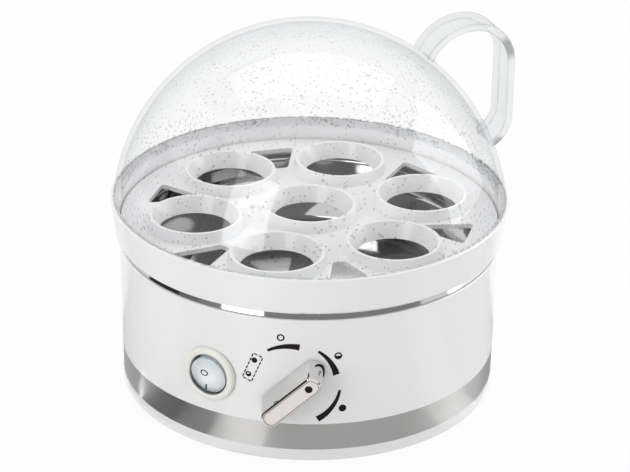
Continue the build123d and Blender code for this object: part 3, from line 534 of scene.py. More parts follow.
@dataclass(frozen=True)
class ClearPlastic(Finish):
    """Clear moulded plastic: it mirrors at a slant, greys at its edges and may carry dew inside.

    A band of it has streaks along it, painted dark reflections as grey lines along both its sides,
    at a distance from the plane that halves it, and painted dark reflections at its bends. A size
    of dew is the spacing of its drops and the largest radius of a drop, as a share of the spacing.
    """

    middle: Colour = (0.995, 0.996, 0.997)
    rim: Colour = (0.87, 0.875, 0.88)
    rim_power: float = 5.0
    mirror: float = 0.04
    mirror_most: float = 0.17
    mirror_power: float = 4.0
    mirror_tones: Tuple[Colour, Colour] = ((0.92, 0.93, 0.94), (0.99, 0.99, 0.99))
    gloss: float = 0.02
    smear_gloss: float = 0.03
    smear_cells: float = 90.0
    wave_cells: float = 45.0
    wave_depth: float = 0.03 * MM
    dew_inside: float = 0.0
    dew_centre: float = 0.0
    dew_low: float = 0.0
    dew_high: float = 1.0
    dew_tone: Colour = (0.36, 0.36, 0.37)
    dew_sizes: Tuple[Span, Span] = ((2.3 * MM, 0.30), (7.0 * MM, 0.15))
    dew_edge: Span = (0.35, 0.95)
    dew_top: Span = (0.05, 0.45)
    dew_lost: float = 0.35
    dew_cells: float = 60.0
    dew_step: Span = (0.25, 0.75)
    dew_least: float = 0.35
    dew_dark: float = 0.65
    dew_bright: float = 0.75
    dew_dull: float = 0.75
    # Painted dark reflections along the band's sides: its cross way, half width, line width and
    # peak, grey tone, and the noise that breaks the lines.
    edge_way: Colour = (1.0, 0.0, 0.0)
    edge_far: float = 0.0
    edge_width: float = 1.6 * MM
    edge_peak: float = 0.35
    painted_edge_tone: Colour = (0.70, 0.705, 0.71)
    edge_cells: float = 70.0
    edge_step: Span = (0.35, 0.6)
    edge_least: float = 0.4
    streak: float = 0.9 * MM
    streak_step: Span = (0.3, 0.7)
    streak_tone: Colour = (0.88, 0.885, 0.89)
    # Painted dark reflections at the bends: their centres and reaches, core share and tone.
    painted_dark_reflections: Tuple[Tuple[Colour, float], ...] = ()
    dark_reflection_core: float = 0.3
    dark_reflection_tone: Colour = (0.45, 0.455, 0.46)

    def drops(self, nodes: Nodes, place: Value, size: Span, reach: Feed) -> Tuple[Value, Value]:
        """One size of dew drop.

        Args:
            nodes: The node tree.
            place: Object coordinates.
            size: Spacing and largest radius of the drops.
            reach: Where the drops are, from nought to one.

        Returns:
            The dark edges and the bright tops of the drops.
        """
        cells: Inputs = {"Vector": place, "Scale": 1 / size[0]}
        away = nodes.add("TexVoronoi", inputs=cells, output="Distance")
        radius = size[1] * reach
        inside = away.below(radius)
        edge = nodes.rise(away, *(radius * share for share in self.dew_edge)) * inside
        top = 1 - nodes.rise(away, *(radius * share for share in self.dew_top))
        return edge, top * inside

    def inner(self, nodes: Nodes, place: Value) -> Value:
        """One on the inner face of a dome, else nought."""
        centre = (0.0, 0.0, self.dew_centre)
        return nodes.vector("DISTANCE", place, centre, output="Value").below(self.dew_inside)

    def dew(self, nodes: Nodes, place: Value) -> Tuple[Value, Value]:
        """Dew on the inner face, thicker low down.

        Args:
            nodes: The node tree.
            place: Object coordinates.

        Returns:
            The dark edges and the bright tops of all drops.
        """
        high = nodes.rise(nodes.part(place, 2), self.dew_low, self.dew_high)
        patchy = nodes.rise(nodes.noise(place, self.dew_cells), *self.dew_step)
        amount = self.inner(nodes, place) * (1 - self.dew_lost * high)
        amount = amount * (self.dew_least + (1 - self.dew_least) * patchy)
        fine, large = (self.drops(nodes, place, size, amount) for size in self.dew_sizes)
        return fine[0].most(large[0]), fine[1].most(large[1])

    def band(self, nodes: Nodes, place: Value, body: Value) -> Value:
        """Streaks, painted dark reflections along the sides and painted dark reflections at the
        bends of a band.

        Args:
            nodes: The node tree.
            place: Object coordinates.
            body: The clear body of the band.

        Returns:
            The body with what shows in it.
        """
        way = nodes.vector("DOT_PRODUCT", place, self.edge_way, output="Value")
        across = way.size()
        streaks = nodes.rise(nodes.noise(way, 1 / self.streak, detail=1.0), *self.streak_step)
        body = nodes.mix(streaks, body, nodes.clear(self.streak_tone))
        # Painted dark reflection: grey lines along both sides of the band, broken up by noise.
        side = self.edge_far - self.edge_width
        full = self.edge_far - self.edge_peak * self.edge_width
        line = nodes.rise(across, side, full) * (1 - nodes.rise(across, full, self.edge_far))
        broken = nodes.rise(nodes.noise(place, self.edge_cells, detail=1.0), *self.edge_step)
        line = line * (self.edge_least + (1 - self.edge_least) * broken)
        body = nodes.mix(line, body, nodes.clear(self.painted_edge_tone))
        # Painted dark reflections: dark spots at the band's bends, near its sides.
        for centre, reach in self.painted_dark_reflections:
            away = nodes.vector("DISTANCE", place, centre, output="Value")
            near = 1 - nodes.rise(away, self.dark_reflection_core * reach, reach)
            near = near * nodes.rise(across, side, full)
            body = nodes.mix(near, body, nodes.clear(self.dark_reflection_tone))
        return body

    def surface(self, nodes: Nodes) -> Value:
        """Clear body with its mirroring skin, its dew and what a band shows.

        Args:
            nodes: The node tree.

        Returns:
            The shader.
        """
        place = nodes.place()
        slant = nodes.add("LayerWeight", inputs={"Blend": 0.5}, output="Facing")
        body = nodes.mix(slant**self.rim_power, nodes.clear(self.middle), nodes.clear(self.rim))
        share = self.mirror + (self.mirror_most - self.mirror) * slant**self.mirror_power
        smear = nodes.noise(place, self.smear_cells, detail=3.0)
        waves = nodes.noise(place, self.wave_cells, detail=1.0)
        skin = nodes.principled(
            {
                "Base Color": nodes.blend(smear, *self.mirror_tones),
                "Metallic": 1.0,
                "Roughness": self.gloss + self.smear_gloss * smear,
                "Normal": nodes.bump(waves, self.wave_depth),
            }
        )
        if self.dew_inside > 0:
            edge, top = self.dew(nodes, place)
            body = nodes.mix(edge * self.dew_dark, body, nodes.clear(self.dew_tone))
            share = share * (1 - self.dew_dull * self.inner(nodes, place))
            share = share.most(top * self.dew_bright)
        if self.edge_far > 0:
            body = self.band(nodes, place, body)
        return nodes.mix(share, body, skin)


@dataclass(frozen=True)
class MilkyPlastic(Finish):
    """Frosted see-through plastic, with a painted highlight that leaves it palest about one point.
    """

    colour: Colour = (0.70, 0.755, 0.79)
    roughness: float = 0.18
    through: float = 0.10
    relief: float = 0.02 * MM
    # Painted highlight: its place, how far it reaches, its core, its frayed edge and its pale
    # tone.
    painted_highlight: Colour = (0.0, 0.0, 0.0)
    painted_highlight_reach: float = 0.0
    painted_highlight_core: float = 0.1
    painted_highlight_fray: float = 4 * MM
    painted_highlight_tone: Colour = (0.95, 0.97, 0.99)
    cloud_cells: float = 260.0
    cloud_tones: Span = (0.74, 1.14)
    mottle: float = 0.12
    index: float = 1.46
    coat: float = 0.8
    coat_roughness: float = 0.10

    def surface(self, nodes: Nodes) -> Value:
        """Frosted plastic with its clouds and its painted highlight.

        Args:
            nodes: The node tree.

        Returns:
            The shader.
        """
        place = nodes.place()
        cloud = nodes.noise(place, self.cloud_cells, detail=3.0)
        tint = nodes.blend(cloud, *(shade(self.colour, share) for share in self.cloud_tones))
        # Painted highlight: the colour pales towards a near-white tone round one point of the
        # face.
        if self.painted_highlight_reach > 0:
            away = nodes.vector("DISTANCE", place, self.painted_highlight, output="Value")
            away = away + self.painted_highlight_fray * (cloud - 0.5)
            far = nodes.rise(away, self.painted_highlight_core * self.painted_highlight_reach, self.painted_highlight_reach)
            tint = nodes.blend(far, self.painted_highlight_tone, tint)
        return nodes.principled(
            {
                "Base Color": tint,
                "Roughness": self.roughness + self.mottle * (cloud - 0.5),
                "Transmission Weight": self.through,
                "IOR": self.index,
                "Coat Weight": self.coat,
                "Coat Roughness": self.coat_roughness,
                "Normal": nodes.bump(cloud, self.relief),
            }
        )


@dataclass(frozen=True)
class Laminate(Finish):
    """Glass-fibre board with a lacquered weave."""

    colour: Colour = (0.03, 0.16, 0.06)
    weave: float = 0.6 * MM
    bright: float = 1.5
    roughness: float = 0.35
    patch_gloss: float = 0.2
    patch_cells: float = 200.0
    relief: float = 0.01 * MM

    def surface(self, nodes: Nodes) -> Value:
        """Board with its weave.

        Args:
            nodes: The node tree.

        Returns:
            The shader.
        """
        place = nodes.place()
        warp, weft = (nodes.wave(place, way, 1 / (WAVE_RATE * self.weave)) for way in ("X", "Z"))
        cloth = warp * weft
        patch = nodes.noise(place, self.patch_cells)
        return nodes.principled(
            {
                "Base Color": nodes.blend(cloth, self.colour, shade(self.colour, self.bright)),
                "Roughness": self.roughness + self.patch_gloss * patch,
                "Normal": nodes.bump(cloth, self.relief),
            }
        )


SHELL_WHITE = MouldedPlastic(
    "shell_white", (0.80, 0.80, 0.80), 0.24, 0.35 * MM, 0.0025 * MM, 0.012, coat=0.25
)
TRAY_WHITE = MouldedPlastic(
    "tray_white", (0.81, 0.81, 0.815), 0.30, 0.4 * MM, 0.003 * MM, 0.015, coat=0.15
)
SILICONE = MouldedPlastic("silicone", (0.55, 0.55, 0.54), 0.55, 0.6 * MM, 0.006 * MM)
RUBBER_GREY = MouldedPlastic(
    "rubber_grey", (0.10, 0.10, 0.105), 0.65, 0.4 * MM, 0.02 * MM, 0.08
)
GLAND_WHITE = MouldedPlastic("gland_white", (0.72, 0.72, 0.71), 0.45, 0.4 * MM, 0.008 * MM)
CERAMIC = MouldedPlastic(
    "ceramic", (0.78, 0.76, 0.71), 0.5, 0.7 * MM, 0.015 * MM, 0.05, 6 * MM
)
PHENOLIC = MouldedPlastic(
    "phenolic", (0.10, 0.045, 0.025), 0.4, 0.5 * MM, 0.01 * MM, 0.15, 5 * MM
)
FUSE_SLEEVE = MouldedPlastic(
    "fuse_sleeve", (0.70, 0.66, 0.55), 0.7, 0.5 * MM, 0.05 * MM, 0.06, 4 * MM
)
BLOCK_CREAM = MouldedPlastic(
    "block_cream", (0.74, 0.70, 0.58), 0.4, 0.4 * MM, 0.006 * MM, 0.03
)
CONTROL_BLACK = MouldedPlastic(
    "control_black", (0.018, 0.018, 0.02), 0.42, 0.4 * MM, 0.008 * MM, 0.1
)
SWITCH_CREAM = MouldedPlastic(
    "switch_cream", (0.72, 0.71, 0.67), 0.42, 0.4 * MM, 0.008 * MM, 0.03
)
RELAY_BLUE = MouldedPlastic(
    "relay_blue", (0.02, 0.06, 0.22), 0.35, 0.5 * MM, 0.006 * MM, 0.08
)
PRINT_BLACK = MouldedPlastic(
    "print_black", (0.013, 0.008, 0.008), 0.45, 0.25 * MM, 0.004 * MM, 0.15, 3 * MM, shine=0.12
)
PRINT_GREY = MouldedPlastic(
    "print_grey", (0.012, 0.014, 0.017), 0.4, 0.25 * MM, 0.003 * MM, 0.12, 3 * MM, shine=0.2
)
# Painted shade and reflection: dark brown line in the groove round the knob's face.
KNOB_SHADE_LINE = MouldedPlastic(
    "knob_shade_line", (0.13, 0.065, 0.045), 0.4, 0.3 * MM, 0.002 * MM, 0.1, 4 * MM
)
WIRE_BROWN = MouldedPlastic(
    "wire_brown", (0.075, 0.028, 0.012), 0.42, 0.4 * MM, 0.004 * MM, 0.08, 6 * MM
)
WIRE_BLUE = MouldedPlastic(
    "wire_blue", (0.015, 0.05, 0.30), 0.42, 0.4 * MM, 0.004 * MM, 0.08, 6 * MM
)
WIRE_WHITE = MouldedPlastic(
    "wire_white", (0.70, 0.68, 0.61), 0.7, 0.5 * MM, 0.05 * MM, 0.06, 4 * MM
)
WIRE_EARTH = StripedSleeve("wire_earth")
# Cream of the bezel; the switch gives it the place of its recess for the painted shade.
BEZEL_CREAM = RecessedPlastic(
    "bezel_cream", (0.79, 0.782, 0.74), 0.34, tone=0.015, patch=8 * MM, coat=0.1
)
TRIM_STEEL = WorkedMetal(
    "trim_steel", (0.55, 0.545, 0.54), 0.32, Grain.ROUND, 0.22 * MM, 0.004 * MM, 0.95
)
BOWL_STEEL = WorkedMetal(
    "bowl_steel", (0.56, 0.555, 0.55), 0.07, Grain.ROUND, 0.5 * MM, 0.001 * MM, 0.0, 0.05
)
STRAP_STEEL = WorkedMetal("strap_steel", (0.50, 0.50, 0.50), 0.38, Grain.LENGTHWISE, 0.4 * MM)
SCREW_STEEL = WorkedMetal("screw_steel", (0.48, 0.48, 0.50), 0.32, Grain.CAST, 0.3 * MM)
CAST_ALUMINIUM = WorkedMetal(
    "cast_aluminium", (0.58, 0.585, 0.59), 0.48, Grain.CAST, 0.8 * MM, 0.02 * MM
)
ELEMENT_STEEL = WorkedMetal(
    "element_steel", (0.30, 0.285, 0.27), 0.45, Grain.CAST, 1.2 * MM, 0.004 * MM
)
BRASS = WorkedMetal("brass", (0.72, 0.50, 0.22), 0.3, Grain.CAST, 0.5 * MM)
SHAFT_METAL = WorkedMetal("shaft_metal", (0.38, 0.38, 0.39), 0.3, Grain.CAST, 0.4 * MM)
KNOB_PLATED = PlatedBar("knob_plated")
BOARD_GREEN = Laminate("board_green")
LAMP_GLASS = MilkyPlastic("lamp_glass", (0.9, 0.45, 0.2), 0.1, 0.7)
ROCKER_CLEAR = MilkyPlastic("rocker_clear")
LID_CLEAR = ClearPlastic("lid_clear", rim_power=3.5)
HANDLE_CLEAR = ClearPlastic(
    "handle_clear", middle=(0.965, 0.967, 0.97), rim=shade(LID_CLEAR.rim, 0.8)
)


# Workshop helpers


def dress(node: str, finish: Finish) -> None:
    """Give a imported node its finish.

    Args:
        node: The node's name.
        finish: The finish.
    """
    piece = frame["nodes"][node]
    piece.data.materials.clear()
    piece.data.materials.append(finish.material())
    LOG.info("dressed %s in %s", node, finish.name)


def stand(mesh: bmesh.types.BMesh, name: str, material: bpy.types.Material) -> bpy.types.Object:
    """Turn a finished bmesh into an object of the scene.

    Args:
        mesh: The bmesh, which is freed.
        name: The object's name.
        material: Its material.

    Returns:
        The new object.
    """
    data = bpy.data.meshes.new(name)
    mesh.to_mesh(data)
    mesh.free()
    data.materials.append(material)
    piece = bpy.data.objects.new(name, data)
    bpy.context.scene.collection.objects.link(piece)
    return piece


def set_down(
    mesh: bmesh.types.BMesh, name: str, finish: Finish, body: str
) -> bpy.types.Object:
    """Turn a finished bmesh into a piece that rides on a body.

    Args:
        mesh: The bmesh, which is freed.
        name: The piece's name.
        finish: Its finish.
        body: The body that carries it.

    Returns:
        The new piece.
    """
    piece = stand(mesh, name, finish.material())
    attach(piece, body)
    LOG.info("made %s with %d faces", name, len(piece.data.polygons))
    return piece


def joint(name: str) -> Dict[str, Any]:
    """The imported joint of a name."""
    return next(row for row in frame["joints"] if row["name"] == name)


class Skin:
    """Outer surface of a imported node, to lay thin print on."""

    def __init__(self, node: str) -> None:
        """Read a node's surface.

        Args:
            node: The node's name.
        """
        data = frame["nodes"][node].data
        corners = [vertex.co.copy() for vertex in data.vertices]
        self.tree = BVHTree.FromPolygons(corners, [tuple(face.vertices) for face in data.polygons])
        self.nudge = 0.001 * MM

    def meet(self, start: Vector, aim: Vector) -> Vector:
        """Where a straight line meets the surface.

        Three lines side by side are tried, since one may slip between two faces.

        Args:
            start: A point outside.
            aim: The way that the line runs.

        Returns:
            The first point on the surface.
        """
        nudges = (Vector((0, 0, step * self.nudge)) for step in (-1, 0, 1))
        hits = [self.tree.ray_cast(start + nudge, aim) for nudge in nudges]
        reached = [hit[3] for hit in hits if hit[0] is not None]
        if not reached:
            raise ValueError(f"no surface from {tuple(start)} along {tuple(aim)}")
        return start + aim * min(reached)


@dataclass
class Film:
    """Thin printed film, drawn flat and then laid on a surface.

    Drawn in metres, with x to the right and y up from the middle of the print.
    """

    sink: float = 0.03 * MM
    proud: float = 0.05 * MM
    cuts: int = 2
    bar_cells: int = 4
    dot_sides: int = 40
    least_steps: int = 6
    steps_per_radian: int = 9
    run_up: float = 50 * MM

    def start(self) -> bmesh.types.BMesh:
        """An empty drawing."""
        return bmesh.new()

    def bar(
        self,
        mesh: bmesh.types.BMesh,
        middle: Sequence[float],
        length: float,
        width: float,
        turn: float,
    ) -> None:
        """Draw a straight bar.

        Args:
            mesh: The drawing.
            middle: Its middle.
            length: Its length.
            width: Its width.
            turn: Its angle from the x axis, in radians.
        """
        put = Matrix.Translation((middle[0], middle[1], 0)) @ Matrix.Rotation(turn, 4, "Z")
        put = put @ Matrix.Diagonal((length, width, 1, 1))
        bmesh.ops.create_grid(
            mesh, x_segments=self.bar_cells, y_segments=1, size=0.5, matrix=put
        )

    def dot(self, mesh: bmesh.types.BMesh, middle: Sequence[float], radius: float) -> None:
        """Draw a filled dot.

        Args:
            mesh: The drawing.
            middle: Its middle.
            radius: Its radius.
        """
        bmesh.ops.create_circle(
            mesh,
            cap_ends=True,
            cap_tris=True,
            segments=self.dot_sides,
            radius=radius,
            matrix=Matrix.Translation((middle[0], middle[1], 0)),
        )

    def sweep(
        self,
        mesh: bmesh.types.BMesh,
        middle: Sequence[float],
        inner: float,
        outer: float,
        start: float,
        turn: float,
    ) -> List[bmesh.types.BMVert]:
        """Draw a band round a point, closed on itself if it turns all the way.

        Args:
            mesh: The drawing.
            middle: The point.
            inner: Inner radius.
            outer: Outer radius.
            start: Angle where it starts, in radians.
            turn: How far it turns, in radians.

        Returns:
            The band's vertices.
        """
        before = set(mesh.verts)
        way = Vector((math.cos(start), math.sin(start), 0))
        centre = Vector((middle[0], middle[1], 0))
        ends = [mesh.verts.new(centre + way * radius) for radius in (inner, outer)]
        edge = mesh.edges.new(ends)
        bmesh.ops.spin(
            mesh,
            geom=ends + [edge],
            cent=centre,
            axis=(0, 0, 1),
            angle=turn,
            steps=max(self.least_steps, round(abs(turn) * self.steps_per_radian)),
            use_merge=math.isclose(abs(turn), math.tau),
        )
        return [vertex for vertex in mesh.verts if vertex not in before]

    def close(self, mesh: bmesh.types.BMesh) -> None:
        """Give the flat drawing its thickness.

        Args:
            mesh: The drawing.
        """
        bmesh.ops.remove_doubles(mesh, verts=mesh.verts, dist=TOUCHING)
        edges = list(mesh.edges)
        bmesh.ops.subdivide_edges(mesh, edges=edges, cuts=self.cuts, use_grid_fill=True)
        bmesh.ops.recalc_face_normals(mesh, faces=mesh.faces)
        faces = list(mesh.faces)
        raised = bmesh.ops.extrude_face_region(mesh, geom=faces, use_keep_orig=True)
        upper = [item for item in raised["geom"] if isinstance(item, bmesh.types.BMVert)]
        bmesh.ops.translate(mesh, verts=upper, vec=(0, 0, self.proud + self.sink))
        bmesh.ops.translate(mesh, verts=mesh.verts, vec=(0, 0, -self.sink))
        bmesh.ops.recalc_face_normals(mesh, faces=mesh.faces)

    def lay_flat(
        self, mesh: bmesh.types.BMesh, skin: Skin, right: Vector, up: Vector, middle: Vector
    ) -> None:
        """Press the drawing onto a surface, straight on.

        Args:
            mesh: The drawing.
            skin: The surface.
            right: Way that the drawing's x runs.
            up: Way that its y runs.
            middle: Where its middle comes, on the surface or in front of it.
        """
        self.close(mesh)
        out = right.cross(up)
        for vertex in mesh.verts:
            start = middle + right * vertex.co.x + up * vertex.co.y + out * self.run_up
            vertex.co = skin.meet(start, -out) + out * vertex.co.z

    def lay_round(
        self, mesh: bmesh.types.BMesh, skin: Skin, radius: float, height: float
    ) -> None:
        """Wrap the drawing round an upright wall, with its middle facing the front.

        Args:
            mesh: The drawing.
            skin: The surface.
            radius: Radius of the wall, along which x is measured.
            height: Height of the drawing's middle.
        """
        self.close(mesh)
        for vertex in mesh.verts:
            turn = vertex.co.x / radius
            out = Vector((math.sin(turn), -math.cos(turn), 0))
            start = out * 2 * radius + Vector((0, 0, height + vertex.co.y))
            vertex.co = skin.meet(start, -out) + out * vertex.co.z


# Sub-assemblies


@dataclass
class SubAssembly:
    """A group of nodes that are dressed together, with pieces of its own."""

    finishes: Dict[str, Finish] = field(default_factory=dict)

    def dress(self) -> None:
        """Give the nodes their finishes."""
        for node, finish in self.finishes.items():
            dress(node, finish)

    def build(self) -> None:
        """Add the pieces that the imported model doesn't have: none, unless a group says so."""


@dataclass
class BaseShell(SubAssembly):
    """Outside of the heated base, with the skirt round the lower edge of its cover.

    The skirt's top is just under the seam with the trim band, and its root is in the cover.
    """

    skirt_top: float = 5.85 * MM
    skirt_root: float = 2.5 * MM
    skirt_low: float = 0.6 * MM
    skirt_deep: float = 3.0 * MM
    skirt_proud: float = 0.03 * MM
    skirt_round: float = 1.1 * MM
    skirt_steps: int = 256
    round_steps: int = 6
    crease: float = 40.0
    finishes: Dict[str, Finish] = field(
        default_factory=lambda: {
            "base_housing": SHELL_WHITE,
            "trim_band": TRIM_STEEL,
            "bottom_cover": SHELL_WHITE,
            "feet": RUBBER_GREY,
            "cover_screws": SCREW_STEEL,
            "cord_gland": GLAND_WHITE,
        }
    )

    def turned(self, outer: float) -> bmesh.types.BMesh:
        """Turn the skirt's section round the axis.

        Args:
            outer: The skirt's outer radius.

        Returns:
            The skirt with square corners.
        """
        inner = outer - self.skirt_deep
        section = (
            (outer, self.skirt_top),
            (outer, self.skirt_low),
            (inner, self.skirt_low),
            (inner, self.skirt_root),
        )
        mesh = bmesh.new()
        corners = [mesh.verts.new((reach, 0, height)) for reach, height in section]
        edges = [mesh.edges.new((corners[i - 1], corners[i])) for i in range(len(corners))]
        bmesh.ops.spin(
            mesh,
            geom=corners + edges,
            cent=(0, 0, 0),
            axis=(0, 0, 1),
            angle=math.tau,
            steps=self.skirt_steps,
            use_merge=True,
        )
        bmesh.ops.remove_doubles(mesh, verts=mesh.verts, dist=TOUCHING)
        bmesh.ops.recalc_face_normals(mesh, faces=mesh.faces)
        return mesh

    def build(self) -> None:
        """Turn the skirt and round its outer lower corner."""
        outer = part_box("bottom_cover")[1].x + self.skirt_proud
        mesh = self.turned(outer)
        middle = outer - self.skirt_deep / 2
        low = {
            vertex
            for vertex in mesh.verts
            if vertex.co.z < self.skirt_low + TOUCHING and vertex.co.xy.length > middle
        }
        bmesh.ops.bevel(
            mesh,
            geom=[edge for edge in mesh.edges if low.issuperset(edge.verts)],
            offset=self.skirt_round,
            offset_type="OFFSET",
            affect="EDGES",
            segments=self.round_steps,
            profile=0.5,
            material=-1,
        )
        for face in mesh.faces:
            face.smooth = True
        skirt = set_down(mesh, "cover_skirt", SHELL_WHITE, "base")
        skirt.data.set_sharp_from_angle(angle=math.radians(self.crease))


@dataclass
class DialPrint(SubAssembly):
    """Marks printed on the wall round the knob.

    Angles are in degrees, anticlockwise from the right, and radii are from the knob's axis.
    """

    outer: float = 19.0 * MM
    thin: float = 1.05 * MM
    thick: float = 2.75 * MM
    sweeps: Tuple[Tuple[str, float, float], ...] = (
        ("soft", 125.0, 83.0),
        ("medium", 59.0, 17.0),
        ("hard", -6.0, -57.0),
    )
    sign_ring: float = 22.1 * MM
    sign_radius: float = 1.56 * MM
    sign_line: float = 0.6 * MM
    sign_angles: Tuple[float, float, float] = (104.0, 38.0, -27.5)
    half_start: float = 180.0
    half_overlap: float = 0.2
    half_inner: float = 0.02 * MM
    warm_angle: float = 158.0
    warm_ring: float = 18.0 * MM
    warm_length: float = 12.3 * MM
    warm_width: float = 4.1 * MM
    warm_line: float = 0.52 * MM
    dash: float = 1.45 * MM
    dash_pitch: float = 1.45
    warm_dot: float = 1.2 * MM
    warm_dots: Tuple[Span, Span] = ((147.6, 18.8 * MM), (169.0, 18.7 * MM))
    warm_half_start: float = 200.0
    film: Film = field(default_factory=Film)

    def spot(self, angle: float, ring: float) -> Span:
        """Flat place of an angle and a radius."""
        return ring * math.cos(math.radians(angle)), ring * math.sin(math.radians(angle))

    def tapered(self, mesh: bmesh.types.BMesh, start: float, end: float) -> None:
        """Draw a band that widens from its start to its end.

        Args:
            mesh: The drawing.
            start: Angle of the thin end.
            end: Angle of the thick end.
        """
        first, turn = math.radians(start), math.radians(end - start)
        inner = self.outer - self.thin
        for vertex in self.film.sweep(mesh, (0, 0), inner, self.outer, first, turn):
            angle = math.atan2(vertex.co.y, vertex.co.x)
            share = (math.degrees(angle) - start) / (end - start)
            width = self.thin + (self.thick - self.thin) * share
            if vertex.co.length < self.outer - self.thin / 2:
                vertex.co = vertex.co.normalized() * (self.outer - width)

    def half(self, mesh: bmesh.types.BMesh, middle: Span, radius: float, start: float) -> None:
        """Draw a ring with one half of it filled.

        Args:
            mesh: The drawing.
            middle: The ring's middle.
            radius: Its outer radius.
            start: Angle where the filled half starts.
        """
        self.film.sweep(mesh, middle, radius - self.sign_line, radius, 0.0, math.tau)
        fill = radius - self.sign_line * (1 - self.half_overlap)
        self.film.sweep(mesh, middle, self.half_inner, fill, math.radians(start), math.pi)

    def dashes(self, mesh: bmesh.types.BMesh) -> None:
        """Draw the dashed frame of the keep-warm mark.

        Args:
            mesh: The drawing.
        """
        turn = math.radians(self.warm_angle)
        middle = Vector(self.spot(self.warm_angle, self.warm_ring))
        out = Vector((math.cos(turn), math.sin(turn)))
        along = Vector((-math.sin(turn), math.cos(turn)))
        sides = (
            (along, out, self.warm_length, self.warm_width),
            (out, along, self.warm_width, self.warm_length),
        )
        for run, step, length, width in sides:
            count = round(length / (self.dash_pitch * self.dash))
            pitch = length / count
            slant = math.atan2(run.y, run.x)
            for side in (-0.5, 0.5):
                for number in range(count):
                    onward = (number + 0.5) * pitch - length / 2
                    place = middle + step * side * width + run * onward
                    self.film.bar(mesh, place, self.dash, self.warm_line, slant)

    def build(self) -> None:
        """Draw every mark and wrap it round the wall."""
        place = Vector(joint("knob_turn")["pos_m"])
        radius, height = -place.y, place.z
        skin = Skin("base_housing")
        drawings: Dict[str, bmesh.types.BMesh] = {}
        for name, start, end in self.sweeps:
            drawings[f"dial_band_{name}"] = mesh = self.film.start()
            self.tapered(mesh, start, end)
        soft, medium, hard = (self.spot(angle, self.sign_ring) for angle in self.sign_angles)
        hollow = self.sign_radius - self.sign_line
        drawings["dial_sign_soft"] = mesh = self.film.start()
        self.film.sweep(mesh, soft, hollow, self.sign_radius, 0.0, math.tau)
        drawings["dial_sign_medium"] = mesh = self.film.start()
        self.half(mesh, medium, self.sign_radius, self.half_start)
        drawings["dial_sign_hard"] = mesh = self.film.start()
        self.film.dot(mesh, hard, self.sign_radius)
        drawings["dial_warm_frame"] = mesh = self.film.start()
        self.dashes(mesh)
        full, part = (self.spot(angle, ring) for angle, ring in self.warm_dots)
        drawings["dial_warm_dot"] = mesh = self.film.start()
        self.film.dot(mesh, full, self.warm_dot)
        drawings["dial_warm_half"] = mesh = self.film.start()
        self.half(mesh, part, self.warm_dot, self.warm_half_start)
        for name, mesh in drawings.items():
            self.film.lay_round(mesh, skin, radius, height)
            set_down(mesh, name, PRINT_BLACK, "base")


@dataclass
class ControlKnob(SubAssembly):
    """Plated bar knob on its shaft, with a fine line of painted shade and reflection round its
    face and an index dot.
    """

    pointer: float = 43.0
    dot_reach: float = 9.4 * MM
    dot_radius: float = 1.55 * MM
    centres: float = 21.5 * MM
    line_radius: float = 2.865 * MM
    line: float = 0.24 * MM
    film: Film = field(default_factory=lambda: Film(proud=0.02 * MM))
    finishes: Dict[str, Finish] = field(
        default_factory=lambda: {"knob": KNOB_PLATED, "control_shaft": SHAFT_METAL}
    )

    def outline(self, mesh: bmesh.types.BMesh, along: Vector, turn: float) -> None:
        """Draw the fine line of painted shade and reflection round the knob's face.

        Args:
            mesh: The drawing.
            along: Way that the knob points.
            turn: The same as an angle, in radians.
        """
        across = Vector((-along.y, along.x))
        inner, outer = self.line_radius - self.line / 2, self.line_radius + self.line / 2
        for side in (-1, 1):
            start = turn - side * math.pi / 2
            self.film.sweep(mesh, along * side * self.centres / 2, inner, outer, start, math.pi)
            self.film.bar(mesh, across * side * self.line_radius, self.centres, self.line, turn)

    def build(self) -> None:
        """Draw the line of painted shade and reflection, and the index dot, on the knob's face."""
        turn = math.radians(self.pointer)
        along = Vector((math.cos(turn), math.sin(turn)))
        right, up = Vector((1, 0, 0)), Vector((0, 0, 1))
        middle = Vector(joint("knob_turn")["pos_m"])
        skin = Skin("knob")
        dot, line = self.film.start(), self.film.start()
        self.film.dot(dot, along * self.dot_reach, self.dot_radius)
        self.outline(line, along, turn)
        # The index dot is print; the line is painted shade and reflection.
        rows = (
            ("knob_index", dot, PRINT_BLACK, "control_black"),
            ("knob_shade_line", line, KNOB_SHADE_LINE, "knob_chrome"),
        )
        for name, mesh, finish, slot in rows:
            self.film.lay_flat(mesh, skin, right, up, middle)
            set_down(mesh, name, finish, "knob")


